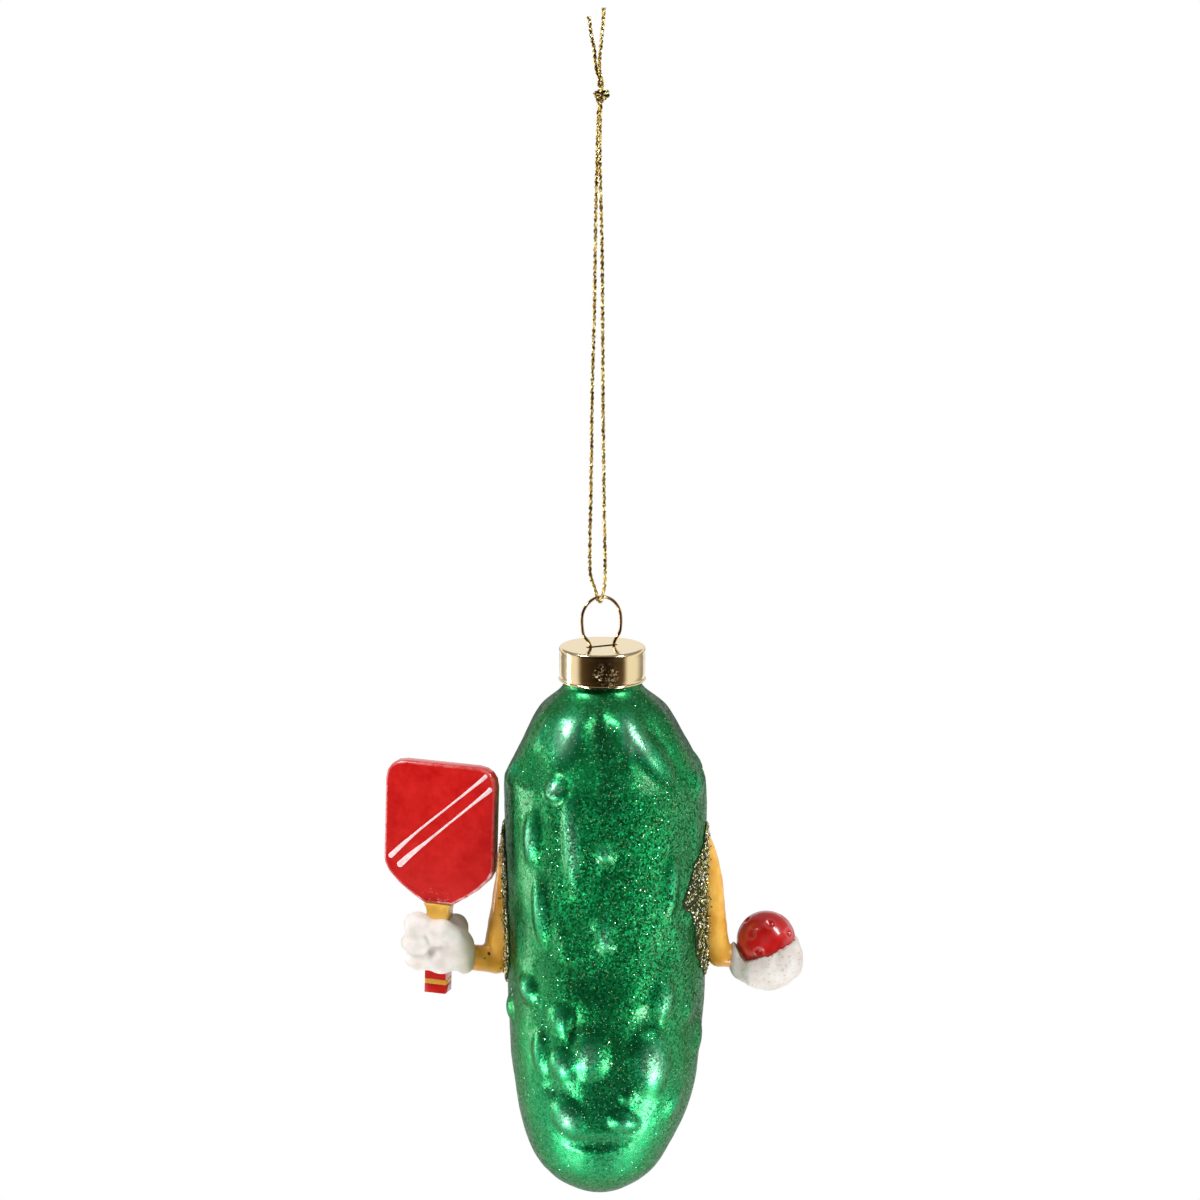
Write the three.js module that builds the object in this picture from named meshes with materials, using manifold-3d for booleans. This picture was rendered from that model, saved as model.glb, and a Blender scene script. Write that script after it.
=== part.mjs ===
// A hanging glass ornament: a pickle with a gold cap, a wire ring and a knotted cord, whose two cast arms hold
// a paddle and a ball. Millimetres, +Z up. The origin is the top of the cord's loop, right under its knot.
// The figure's back faces -Y, so its left hand is on the -X side.
import * as THREE from "three";
import { mergeVertices } from "three/addons/utils/BufferGeometryUtils.js";
import Module from "manifold-3d";

// Clearances between pieces
const GLUE_GAP = 0.3;
const STACK_GAP = 0.05;

// Cord: its loop from the knot round the ring's wire, its knot and its two tails
const CORD_DIAMETER = 0.8;
const KNOT_HEIGHT = 3.7;
const KNOT_RADIUS = 1.15;
const KNOT_X = -0.45;
const KNOT_GAP = 0.3;
// The knot's turns, as [share of its radius, share of its height, x, degrees tilted about X, and then about Y]
const KNOT_TURNS = [
  [1, 0.3, -0.45, 8, 14],
  [1, 0.56, -0.4, -14, -22],
  [0.62, 0.56, 0.45, 78, 20],
  [0.7, 0.74, -0.6, 10, 24],
];

// Wire ring: a spring wire with two prongs that splay inside the glass neck
const WIRE_DIAMETER = 0.66;
const RING_TOP_DROP = 99.35; // from the origin to the middle of the wire at the top of the ring
const RING_TURN = 24; // degrees about +Z
const RING_LEAN = 2; // degrees, to the -X side at the top
const RING_HALF_WIDTH = 4.27;
const RING_ARC_HEIGHT = 4.6; // from the top down to the ring's widest place
const RING_TO_CAP = 10.15; // from the wire at the ring's top to the cap's top face
const LEG_HALF_GAP = 2.53; // half of the distance between the legs in the slot
const PRONG_LENGTH = 19;
const PRONG_CLEARANCE = 0.35; // between a prong and the neck's bore

// Cap: a pressed cup with a slot and a rolled rim
const CAP_RADIUS = 8.6;
const CAP_HEIGHT = 6.9;
const CAP_WALL = 0.4;
const CAP_EDGE = 0.5; // rounding of the top edge
const CAP_RIM = 0.18; // how far the rolled rim stands out
const CAP_CENTRE_X = -0.05;
const SLOT_SIDE_GAP = 0.3; // between the wire and the slot's long sides
const SLOT_END_GAP = 0.55; // between the wire and the slot's ends
const CAP_LIFT = 1; // how far the cap rises on the wire

// Glass body: a blown shell with an open neck
const NECK_GAP = 0.35; // between the neck and the inside of the cap
const GLASS_WALL = 1;
const BODY_LENGTH = 106.85; // from the cap's lower edge to the tip
const BODY_HALF_WIDTH = 20.2;
const BODY_HALF_DEPTH = 19.5;
const SHOULDER_LENGTH = 21.5; // from the cap's lower edge to the full width
const LOWER_LENGTH = 44; // from the tip up to where the taper starts
const BODY_SEGMENTS = 40;
const INSIDE_SEGMENTS = 16;
const FURROWS = 8;
const FURROW_DEPTH = 0.45;

// Arms: cast limbs glued to the glass, given as [out from the glass's side, down from the arm's top, radius]
const ARM_TOP_DROP = 31.6; // from the cap's lower edge
const ARM_SIDES = 10;
const LEFT_ARM_Y = 0.4;
const LEFT_UPPER_ARM = [
  [-0.4, 0, 1],
  [-0.2, 5, 1.9],
  [0.2, 11.5, 2.1],
  [0.9, 18.5, 2.5],
  [1.8, 24.5, 2.8],
];
const LEFT_ELBOW = [2.2, 26.7, 2.85];
const LEFT_WRIST = [9, 25.5, 2.5];
const RIGHT_ARM_Y = -2;
const RIGHT_UPPER_ARM = [
  [-0.4, 0, 1.1],
  [0.4, 5, 1.9],
  [1, 11.4, 2.4],
  [1.5, 18, 2.5],
  [2.2, 23, 2.6],
];
const RIGHT_ELBOW = [2.8, 25, 2.5];
const RIGHT_WRIST = [7.6, 26.2, 2.2];

// Paddle: its own frame stands in the middle of the fist, with the handle along Z and the face towards -Y
const PADDLE_REACH = 13.6; // from the glass's side to the handle's middle
const PADDLE_Y = -2.5;
const PADDLE_DROP = 22.7; // from the arm's top to the middle of the fist
const PADDLE_TURN = -17; // degrees about +Z
const PADDLE_LEAN = 1.6; // degrees, to the +X side at the top
const BLADE_WIDTH = 23.2;
const BLADE_HEIGHT = 29.1;
const BLADE_THICKNESS = 3.1;
const BLADE_CORNER = 4;
const BLADE_TAPER = 8.6; // height of the slanted stretch above the neck
const BLADE_FOOT = 6; // width of the blade where the neck starts
const BLADE_EDGE = 0.6; // rounding of the blade's edges
const HANDLE_WIDTH = 4.4;
const HANDLE_THICKNESS = 4;
const NECK_LENGTH = 8.7; // from the middle of the fist up to the blade
const NECK_FLARE = 1.6; // height of the flare under the blade
const GRIP_LENGTH = 6.8; // from the middle of the fist down to the band
const BAND_HEIGHT = 1;
const BUTT_LENGTH = 1.8;
const STRIPE_THICKNESS = 0.25;
// A stripe runs from [x, height above the blade's foot, radius] to the same at its other end.
const UPPER_STRIPE = [
  [9.4, 27.4, 0.32],
  [-10, 9.4, 0.5],
];
const LOWER_STRIPE = [
  [10.4, 24.7, 0.4],
  [-8.1, 7.7, 0.7],
];

// Fist: rounded lumps as [x, y, z, half width, half depth, half height] from the middle of the fist
const FIST_LUMPS = [
  [0.3, 0.6, 0.2, 6.2, 4.6, 6.3],
  [-4.4, -1.6, 4.4, 3.1, 3.6, 2.9],
  [-4.2, -2, 0.8, 3.5, 3.7, 2.5],
  [-3.6, -1.8, -2.7, 3.3, 3.5, 2.3],
  [0.6, -3, 3.2, 3.6, 3, 2.7],
  [3.3, -0.8, -0.9, 4.2, 4.9, 4.4],
  [1.1, -2.4, -2.9, 3.2, 3.2, 2.6],
  [5.2, 0.4, -3.2, 2.4, 3.8, 3.3],
  [3.2, 3, 2.4, 2.8, 2.8, 3.3],
];

// Ball and the hand that holds it
const BALL_RADIUS = 5.94;
const BALL_REACH = 12.15; // from the glass's side to the ball's middle
const BALL_Y = -0.5;
const BALL_DROP = 22.4; // from the arm's top to the ball's middle
const DIMPLE_RADIUS = 0.75;
const DIMPLE_DEPTH = 0.5;
// Rings of dimples, as [degrees from the top, degrees about +Z of the first]
const DIMPLE_RINGS = [
  [41, -80],
  [66, -125],
  [99, -105],
  [130, -60],
];
const DIMPLES_PER_RING = 4;
// Rounded lumps as [x, y, z, half width, half depth, half height] from the ball's middle
const HAND_LUMPS = [
  [0.2, 0, -4.4, 7.2, 6.9, 6],
  [-5.4, -0.4, -4.6, 2.2, 3.4, 3.5],
  [-2, -5, -5.2, 2.3, 2.2, 3.6],
  [0.9, -5.4, -4.4, 2.2, 2.2, 4.2],
  [3.5, -4.8, -3.8, 2.1, 2.3, 4.6],
  [5.5, -3, -3.2, 1.9, 2.6, 4.2],
  [0.4, 4.6, -4.2, 4.8, 2.6, 4],
  [5, 2.2, -3.2, 2.2, 3.4, 4],
];
// The rim of the cupped hand lies in a slanted plane, this far under the ball's middle
const HAND_RIM_DROP = 1.8;
const HAND_RIM_SLANT = 22; // degrees, up to the +X side

// Glue seams: how far they reach past the arm, behind it and at its ends, and in front of it at each of its points
const SEAM_THICKNESS = 0.7;
const SEAM_WIDTH = 1.2;
const LEFT_SEAM_FRONT = [1.2, 1.6, 1.8, 2, 2, 1.6];
const RIGHT_SEAM_FRONT = [1.4, 5, 6.6, 3.9, 3.6, 2.2];

// Warts on the seen side: [degrees from -Y, down from the cap's lower edge, half width, half length, rise]
const WARTS = [
  [-30, 18.6, 1.9, 2.1, 1],
  [69, 18.4, 2.8, 2.8, 0.8],
  [-46.5, 29.4, 1.9, 4, 0.9],
  [-19.5, 28, 1.9, 8, 0.7],
  [0, 30.6, 2.1, 2.5, 0.8],
  [0, 48, 2.1, 2.3, 0.9],
  [-44, 43.6, 2, 4, 0.6],
  [39.6, 38.8, 1.8, 5.4, 0.6],
  [-52, 60.8, 2.6, 2.7, 1],
  [-26.5, 66.2, 2.3, 3.2, 0.9],
  [35, 61.8, 2.3, 3.9, 0.9],
  [-43, 73.6, 2, 3.9, 0.7],
  [-26.5, 75.6, 2.2, 2.6, 0.9],
  [-10, 73.2, 3, 3.8, 0.9],
  [28, 75.4, 3.4, 5.3, 0.9],
  [14.5, 82, 1.7, 1.7, 0.6],
  [-20.3, 86.6, 3.2, 2.9, 0.9],
  [13.5, 88.6, 2.9, 2.3, 0.7],
  [-78, 67.2, 2.2, 2.4, 0.9],
  [74, 73, 2.5, 3.3, 0.6],
];
// Dents on the seen side, the same way
const DENTS = [
  [1.6, 19.2, 2.2, 2.6, 0.6],
  [-5, 92.5, 4.6, 1.3, 0.5],
];
// Warts on the far side stand on a spiral of even steps
const FAR_WARTS = 14;
const FAR_WART_STEP = 84; // degrees
const FAR_WART_SPAN = 136; // degrees of the far side that they share
const FAR_WART_RISE = 0.9;
const FAR_WART_SIZE = 2.1;
const FAR_WART_SPREAD = 0.4; // how much their sizes differ
const FAR_WART_MARGIN = 16; // bare length above the first and below the last

// Heights of the main seats
const RING_TOP_Z = -RING_TOP_DROP;
const CAP_TOP_Z = RING_TOP_Z - RING_TO_CAP;
const CAP_BOTTOM_Z = CAP_TOP_Z - CAP_HEIGHT;
const CAP_BORE = CAP_RADIUS - CAP_WALL;
const NECK_RADIUS = CAP_BORE - NECK_GAP;
const NECK_BORE = NECK_RADIUS - GLASS_WALL;
const NECK_TOP_Z = CAP_TOP_Z - CAP_WALL - NECK_GAP;
const TIP_Z = CAP_BOTTOM_Z - BODY_LENGTH;
const ARM_TOP_Z = CAP_BOTTOM_Z - ARM_TOP_DROP;

const wasm = await Module();
wasm.setup();

// Solids: a closed geometry becomes a solid for joins and cuts, and comes back as a geometry
function solidOf(geometry) {
  const bare = geometry.index ? geometry.toNonIndexed() : geometry;
  const positions = new THREE.BufferGeometry().setAttribute("position", bare.getAttribute("position"));
  const merged = mergeVertices(positions, 1e-4);
  const corners = merged.index.array;
  const kept = [];
  for (let i = 0; i < corners.length; i += 3) {
    const [a, b, c] = corners.slice(i, i + 3);
    if (a !== b && b !== c && c !== a) kept.push(a, b, c);
  }
  return new wasm.Manifold(
    new wasm.Mesh({
      numProp: 3,
      vertProperties: merged.attributes.position.array,
      triVerts: new Uint32Array(kept),
    }),
  );
}

function geometryOf(solid) {
  const made = solid.getMesh();
  const positions = new THREE.BufferAttribute(new Float32Array(made.vertProperties), made.numProp);
  const geometry = new THREE.BufferGeometry();
  geometry.setAttribute("position", positions);
  geometry.setIndex(new THREE.BufferAttribute(new Uint32Array(made.triVerts), 1));
  geometry.computeVertexNormals();
  return geometry;
}

function joined(solids) {
  return solids.reduce((whole, solid) => whole.add(solid));
}

// A closed skin over rows of points, each row a closed ring, with a fan over the first and the last row
function skin(rows) {
  const count = rows[0].length;
  const corners = rows.flat();
  const firstMiddle = middleOf(rows[0]);
  const lastMiddle = middleOf(rows.at(-1));
  const positions = [...corners, firstMiddle, lastMiddle].flatMap((p) => [p.x, p.y, p.z]);
  const faces = [];
  for (let i = 0; i < count; i++) {
    const next = (i + 1) % count;
    faces.push(corners.length, next, i);
    for (let row = 0; row < rows.length - 1; row++) {
      const low = row * count;
      const high = low + count;
      faces.push(low + i, low + next, high + next);
      faces.push(low + i, high + next, high + i);
    }
    const last = (rows.length - 1) * count;
    faces.push(corners.length + 1, last + i, last + next);
  }
  const geometry = new THREE.BufferGeometry();
  geometry.setAttribute("position", new THREE.Float32BufferAttribute(positions, 3));
  geometry.setIndex(faces);
  return geometry;
}

function middleOf(points) {
  const sum = points.reduce((total, p) => total.add(p), new THREE.Vector3());
  return sum.divideScalar(points.length);
}

// A round limb along points, with its own radius at each
function limb(points, radii, sides, steps) {
  const curve = new THREE.CatmullRomCurve3(points);
  const frames = curve.computeFrenetFrames(steps, false);
  const rows = [];
  for (let step = 0; step <= steps; step++) {
    const place = (step / steps) * (radii.length - 1);
    const low = Math.min(Math.floor(place), radii.length - 2);
    const radius = THREE.MathUtils.lerp(radii[low], radii[low + 1], place - low);
    const centre = curve.getPoint(step / steps);
    rows.push(
      Array.from({ length: sides }, (_, i) => {
        const angle = (i / sides) * 2 * Math.PI;
        return centre
          .clone()
          .addScaledVector(frames.normals[step], radius * Math.cos(angle))
          .addScaledVector(frames.binormals[step], radius * Math.sin(angle));
      }),
    );
  }
  return solidOf(skin(rows));
}

function ellipsoid([x, y, z, halfWidth, halfDepth, halfHeight], across, around) {
  const geometry = new THREE.SphereGeometry(1, around, across);
  geometry.scale(halfWidth, halfHeight, halfDepth);
  geometry.rotateX(Math.PI / 2);
  geometry.translate(x, y, z);
  return solidOf(geometry);
}

function lathe(profile, segments) {
  const points = profile.map(([radius, height]) => new THREE.Vector2(radius, height));
  return new THREE.LatheGeometry(points, segments).rotateX(Math.PI / 2);
}

function box(width, depth, height) {
  return new THREE.BoxGeometry(width, depth, height);
}

function circle(radius, sides) {
  const shape = new THREE.Shape();
  for (let i = 0; i < sides; i++) {
    const angle = (i / sides) * 2 * Math.PI;
    if (i === 0) shape.moveTo(radius, 0);
    else shape.lineTo(radius * Math.cos(angle), radius * Math.sin(angle));
  }
  return shape;
}

// A curve whose steps follow its points, which stand closer where a route bends
class Route extends THREE.CatmullRomCurve3 {
  getUtoTmapping(share) {
    return share;
  }
}

function tube(points, diameter, sides, stepsBetween) {
  const extrudePath = new Route(points.map((p) => new THREE.Vector3(...p)));
  const steps = stepsBetween * (points.length - 1);
  return new THREE.ExtrudeGeometry(circle(diameter / 2, sides), { steps, extrudePath });
}

// Glass body
// The outline's upper points lie below the cap, as [share of the shoulder's length, half width], and its lower
// ones above the tip, as [share of the lower length, half width].
const SHOULDER_OUTLINE = [
  [0.05, NECK_RADIUS + 0.1],
  [0.11, NECK_RADIUS + 1.1],
  [0.29, BODY_HALF_WIDTH * 0.65],
  [0.58, BODY_HALF_WIDTH * 0.82],
  [0.87, BODY_HALF_WIDTH * 0.976],
  [1, BODY_HALF_WIDTH * 1.003],
  [1.45, BODY_HALF_WIDTH * 1.006],
];
const LOWER_OUTLINE = [
  [1.3, BODY_HALF_WIDTH],
  [1, BODY_HALF_WIDTH * 0.985],
  [0.745, BODY_HALF_WIDTH * 0.955],
  [0.56, BODY_HALF_WIDTH * 0.91],
  [0.373, BODY_HALF_WIDTH * 0.825],
  [0.184, BODY_HALF_WIDTH * 0.65],
  [0.091, BODY_HALF_WIDTH * 0.48],
  [0.034, BODY_HALF_WIDTH * 0.29],
  [0.008, BODY_HALF_WIDTH * 0.14],
];
// Sideways drift of the body's middle line: to the +X side along its length, and back near the tip
const BODY_DRIFT = 0.8;
const TIP_DRIFT = -0.9;

const outline = new THREE.CatmullRomCurve3([
  ...SHOULDER_OUTLINE.map(([share, r]) => new THREE.Vector3(r, 0, CAP_BOTTOM_Z - share * SHOULDER_LENGTH)),
  ...LOWER_OUTLINE.map(([share, r]) => new THREE.Vector3(r, 0, TIP_Z + share * LOWER_LENGTH)),
]);
const OUTLINE_SAMPLES = outline.getPoints(160);

function halfWidthAt(z) {
  const below = OUTLINE_SAMPLES.findIndex((p) => p.z <= z);
  if (below < 1) return below === 0 ? NECK_RADIUS : 0;
  const high = OUTLINE_SAMPLES[below - 1];
  const low = OUTLINE_SAMPLES[below];
  return THREE.MathUtils.mapLinear(z, low.z, high.z, low.x, high.x);
}

function driftAt(z) {
  const share = THREE.MathUtils.clamp((CAP_BOTTOM_Z - z) / BODY_LENGTH, 0, 1);
  const nearTip = Math.exp(-(((share - 0.93) / 0.1) ** 2));
  return CAP_CENTRE_X + BODY_DRIFT * Math.sin(share * Math.PI) ** 0.7 + TIP_DRIFT * nearTip;
}

// How deep the furrows are on the shoulder
function furrowAt(degrees, z) {
  const share = (CAP_BOTTOM_Z - z) / SHOULDER_LENGTH;
  const shoulder = Math.exp(-(((share - 0.4) / 0.35) ** 2));
  return FURROW_DEPTH * shoulder * Math.cos(THREE.MathUtils.degToRad(FURROWS * (degrees + 3)));
}

// A place on the smooth glass, by its angle from -Y and its height
function onGlass(degrees, z, grow) {
  const angle = THREE.MathUtils.degToRad(degrees);
  const radius = halfWidthAt(z) + grow;
  return new THREE.Vector3(
    driftAt(z) + radius * Math.sin(angle),
    -radius * flatnessAt(z) * Math.cos(angle),
    z,
  );
}

// The body is a little flatter from back to front than from side to side, and round in its neck
function flatnessAt(z) {
  const share = THREE.MathUtils.clamp((CAP_BOTTOM_Z - z) / SHOULDER_LENGTH, 0, 1);
  return THREE.MathUtils.lerp(1, BODY_HALF_DEPTH / BODY_HALF_WIDTH, share);
}

// A wart or a dent: an ellipsoid with its pole out of the glass, standing out by its rise
function lumpOnGlass([degrees, down, halfWidth, halfLength, rise], sunk) {
  const z = CAP_BOTTOM_Z - down;
  const step = 1;
  const centre = onGlass(degrees, z, -sunk);
  const around = onGlass(degrees + step, z, 0).sub(onGlass(degrees - step, z, 0)).normalize();
  const upward = onGlass(degrees, z + step, 0).sub(onGlass(degrees, z - step, 0)).normalize();
  const out = new THREE.Vector3().crossVectors(around, upward).normalize();
  const basis = new THREE.Matrix4().makeBasis(around, out, upward.clone().negate());
  const geometry = new THREE.SphereGeometry(1, 7, 6);
  geometry.scale(halfWidth * 1.2, rise + Math.abs(sunk), halfLength * 1.2);
  return solidOf(geometry.applyMatrix4(basis).translate(centre.x, centre.y, centre.z));
}

function farWarts() {
  return Array.from({ length: FAR_WARTS }, (_, i) => {
    const share = (i + 0.5) / FAR_WARTS;
    const turned = THREE.MathUtils.euclideanModulo(i * FAR_WART_STEP, FAR_WART_SPAN);
    const size = FAR_WART_SIZE + FAR_WART_SPREAD * Math.sin(i * 2.4);
    const down = THREE.MathUtils.lerp(FAR_WART_MARGIN, BODY_LENGTH - FAR_WART_MARGIN, share);
    return [180 - FAR_WART_SPAN / 2 + turned, down, size, size * 1.3, FAR_WART_RISE];
  });
}

function bodySkin(grow) {
  const heights = [TIP_Z + 0.2, TIP_Z + 0.75, TIP_Z + 1.7];
  for (let up = 3.2; up < BODY_LENGTH; up += up > BODY_LENGTH - SHOULDER_LENGTH ? 2.4 : 4) {
    heights.push(TIP_Z + up);
  }
  const profile = [
    [0, TIP_Z - grow],
    ...heights.map((z) => [halfWidthAt(z) + grow, z]),
    [NECK_RADIUS + grow, CAP_BOTTOM_Z + 0.4],
    [NECK_RADIUS + grow, NECK_TOP_Z - 0.3],
    [NECK_RADIUS - 0.3 + grow, NECK_TOP_Z + grow],
    [0, NECK_TOP_Z + grow],
  ];
  const geometry = lathe(profile, BODY_SEGMENTS);
  const position = geometry.getAttribute("position");
  for (let i = 0; i < position.count; i++) {
    const [x, y, z] = [position.getX(i), position.getY(i), position.getZ(i)];
    const radius = Math.hypot(x, y);
    const furrow = furrowAt(THREE.MathUtils.radToDeg(Math.atan2(x, -y)), z);
    const scale = radius > NECK_RADIUS + grow ? 1 - furrow / radius : 1;
    position.setXY(i, driftAt(z) + x * scale, y * scale * flatnessAt(z));
  }
  return solidOf(geometry);
}

function glassSolid() {
  const warts = [...WARTS, ...farWarts()].map((wart) => lumpOnGlass(wart, 1.2 * wart[4]));
  const dents = DENTS.map((dent) => lumpOnGlass(dent, -1.2 * dent[4]));
  return joined([bodySkin(0), ...warts]).subtract(joined(dents)).subtract(bodyInside());
}

function bodyInside() {
  const profile = [[0, TIP_Z + 2 * GLASS_WALL]];
  for (let up = 2; up < BODY_LENGTH - 6; up += up < 8 ? 2.5 : 8) {
    profile.push([Math.max(halfWidthAt(TIP_Z + up) - 1.9 * GLASS_WALL, 1), TIP_Z + up + 1.5 * GLASS_WALL]);
  }
  profile.push([NECK_BORE, CAP_BOTTOM_Z - 1.6]);
  profile.push([NECK_BORE, NECK_TOP_Z + 1]);
  profile.push([0, NECK_TOP_Z + 1]);
  const geometry = lathe(profile, INSIDE_SEGMENTS);
  const position = geometry.getAttribute("position");
  for (let i = 0; i < position.count; i++) {
    const z = position.getZ(i);
    position.setXY(i, driftAt(z) + position.getX(i), position.getY(i) * flatnessAt(z));
  }
  return solidOf(geometry);
}

function sideOfGlass(side, z) {
  return driftAt(z) + side * halfWidthAt(z);
}

// Arms
function armPoint(side, armY, [out, down]) {
  const z = ARM_TOP_Z - down;
  return new THREE.Vector3(sideOfGlass(side, z) + side * out, armY, z);
}

function armSolid(side, armY, upper, elbow, wrist, wristY, grow) {
  const points = upper.map((row) => armPoint(side, armY, row));
  const elbowPoint = armPoint(side, armY, elbow);
  const wristPoint = armPoint(side, wristY, wrist);
  const radii = upper.map((row) => row[2] + grow);
  const upperArm = limb([...points, elbowPoint], [...radii, elbow[2] + grow], ARM_SIDES, 10);
  const forearm = limb([elbowPoint, wristPoint], [elbow[2] + grow, wrist[2] + grow], ARM_SIDES, 2);
  const elbowRadius = elbow[2] + grow;
  const joint = ellipsoid([...elbowPoint.toArray(), elbowRadius, elbowRadius, elbowRadius], 7, ARM_SIDES);
  return joined([upperArm, forearm, joint]);
}

const leftArm = (grow) =>
  armSolid(-1, LEFT_ARM_Y, LEFT_UPPER_ARM, LEFT_ELBOW, LEFT_WRIST, PADDLE_Y + 0.5, grow);
const rightArm = (grow) =>
  armSolid(1, RIGHT_ARM_Y, RIGHT_UPPER_ARM, RIGHT_ELBOW, RIGHT_WRIST, BALL_Y, grow);

// Glue seams: a low ridge over the glass round the arm's foot, with the arm cut out of it
function seamSolid(side, armY, arm, front) {
  const across = 6;
  const [, firstDown, firstRadius] = arm[0];
  const [, lastDown, lastRadius] = arm.at(-1);
  const past = GLUE_GAP + SEAM_WIDTH;
  const rows = [
    [firstDown - firstRadius - past, firstRadius, firstRadius],
    ...arm.map(([, down, radius], i) => [down, radius + GLUE_GAP + front[i], radius + past]),
    [lastDown + lastRadius + past, lastRadius / 2, lastRadius / 2],
  ];
  const rings = rows.map(([down, frontReach, backReach]) => {
    const z = ARM_TOP_Z - down;
    const depth = halfWidthAt(z) * flatnessAt(z);
    const angleTo = (y) => side * (90 + THREE.MathUtils.radToDeg(Math.asin(y / depth)));
    const [from, to] = [angleTo(armY - frontReach), angleTo(armY + backReach)];
    const at = (share, grow) => onGlass(THREE.MathUtils.lerp(from, to, share), z, grow);
    const crown = (share) => GLUE_GAP + SEAM_THICKNESS * Math.sqrt(Math.sin(Math.PI * share));
    const over = Array.from({ length: across + 1 }, (_, i) => at(i / across, crown(i / across)));
    const under = Array.from({ length: across + 1 }, (_, i) => at(1 - i / across, -GLUE_GAP));
    return [...over, ...under];
  });
  return solidOf(skin(side > 0 ? rings.reverse() : rings));
}

// Cap, cut open below and slotted for the wire
function capSolid() {
  const rounded = [0, 30, 60, 90].map((degrees) => {
    const angle = THREE.MathUtils.degToRad(degrees);
    return [
      CAP_RADIUS - CAP_EDGE + CAP_EDGE * Math.cos(angle),
      CAP_TOP_Z - CAP_EDGE + CAP_EDGE * Math.sin(angle),
    ];
  });
  const profile = [
    [CAP_BORE, CAP_BOTTOM_Z],
    [CAP_RADIUS, CAP_BOTTOM_Z],
    [CAP_RADIUS + CAP_RIM, CAP_BOTTOM_Z + 0.3],
    [CAP_RADIUS, CAP_BOTTOM_Z + 0.7],
    ...rounded,
    [0, CAP_TOP_Z],
    [0, CAP_TOP_Z - CAP_WALL],
    [CAP_BORE, CAP_TOP_Z - CAP_WALL],
    [CAP_BORE, CAP_BOTTOM_Z],
  ];
  const cup = solidOf(lathe(profile, 36));
  const slotLength = 2 * (LEG_HALF_GAP + WIRE_DIAMETER / 2 + SLOT_END_GAP);
  const slotWidth = WIRE_DIAMETER + 2 * SLOT_SIDE_GAP;
  const slot = box(slotLength, slotWidth, 4 * CAP_WALL);
  slot.rotateZ(THREE.MathUtils.degToRad(RING_TURN)).translate(0, 0, CAP_TOP_Z);
  return cup.subtract(solidOf(slot)).translate([CAP_CENTRE_X, 0, 0]);
}

// Wire: points in the ring's own plane, as [sideways, height above the cap's top face]
function wireGeometry() {
  const ringMiddle = RING_TO_CAP - RING_ARC_HEIGHT;
  const arch = [-90, -62, -35, -12, 12, 35, 62, 90].map((degrees) => {
    const angle = THREE.MathUtils.degToRad(degrees);
    return [RING_HALF_WIDTH * Math.sin(angle), ringMiddle + RING_ARC_HEIGHT * Math.cos(angle)];
  });
  const splay = NECK_BORE - PRONG_CLEARANCE - WIRE_DIAMETER / 2;
  const leg = [
    [splay - 0.25, -PRONG_LENGTH],
    [splay, -PRONG_LENGTH * 0.55],
    [splay - 1.2, -PRONG_LENGTH * 0.2],
    [LEG_HALF_GAP + 0.9, -1.3],
    [LEG_HALF_GAP, -CAP_WALL / 2],
    [RING_HALF_WIDTH - 1.35, 1.1],
    [RING_HALF_WIDTH - 0.35, 2.5],
    [RING_HALF_WIDTH - 0.06, 4],
  ];
  const left = leg.map(([across, up]) => [-across, up]);
  const right = [...leg].reverse();
  const lean = Math.tan(THREE.MathUtils.degToRad(RING_LEAN));
  const points = [...left, ...arch, ...right].map(([across, up]) => [across - lean * Math.max(up, 0), 0, up]);
  const geometry = tube(points, WIRE_DIAMETER, 8, 3);
  geometry.rotateZ(THREE.MathUtils.degToRad(RING_TURN));
  return geometry.translate(CAP_CENTRE_X, 0, CAP_TOP_Z);
}

// Cord: down behind the ring's wire, under it, and up in front
const CORD_ROUTE = [
  [-0.75, 0.5, -0.3],
  [-0.9, 0.55, -3.8],
  [-1.1, 0.65, -11.7],
  [-1.3, 0.75, -19.9],
  [-1.45, 0.85, -29.3],
  [-1.6, 0.95, -40],
  [-1.85, 1, -49.8],
  [-2.1, 1.1, -60],
  [-2.2, 1.2, -70.3],
  [-2.35, 1.25, -80.2],
  [-2.5, 1.3, -86.9],
  [-2.56, 1.4, -92.1],
  [-2.45, 1.45, -94.8],
  [-2, 1.5, -96.8],
  [-1.3, 1.34, -98.68],
  [-1.21, 1.14, -99.48],
  [-0.98, 0.6, -100.07],
  [-0.65, -0.13, -100.28],
  [-0.32, -0.86, -100.07],
  [-0.09, -1.4, -99.48],
  [0, -1.59, -98.68],
  [0.3, -1.6, -97.4],
  [0.5, -1.5, -95.6],
  [0.52, -1.4, -91.6],
  [0.45, -1.3, -86.9],
  [0.3, -1.25, -80.1],
  [0.2, -1.15, -70.3],
  [0.1, -1.1, -59.9],
  [0.05, -1, -49.8],
  [0, -0.95, -39.8],
  [-0.1, -0.85, -29.3],
  [-0.3, -0.75, -19.7],
  [-0.5, -0.65, -11.7],
  [-0.5, -0.55, -3.7],
  [-0.35, -0.5, -0.3],
];
const LEFT_TAIL_ROUTE = [
  [-0.75, 0.45, KNOT_HEIGHT + KNOT_GAP],
  [-0.75, 0.45, 5.2],
  [-1.1, 0.45, 6.6],
  [-1.45, 0.45, 8.8],
  [-1.65, 0.4, 11.3],
  [-2.15, 0.35, 13.7],
  [-2.5, 0.3, 16.2],
  [-2.65, 0.3, 17.6],
];
const RIGHT_TAIL_ROUTE = [
  [-0.1, -0.45, KNOT_HEIGHT + KNOT_GAP],
  [-0.05, -0.45, 5.2],
  [-0.5, -0.45, 6.6],
  [-0.6, -0.45, 8.8],
  [-0.4, -0.4, 11.3],
  [-0.15, -0.35, 14.2],
  [0.15, -0.3, 17],
  [0.25, -0.3, 19.5],
];

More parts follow.
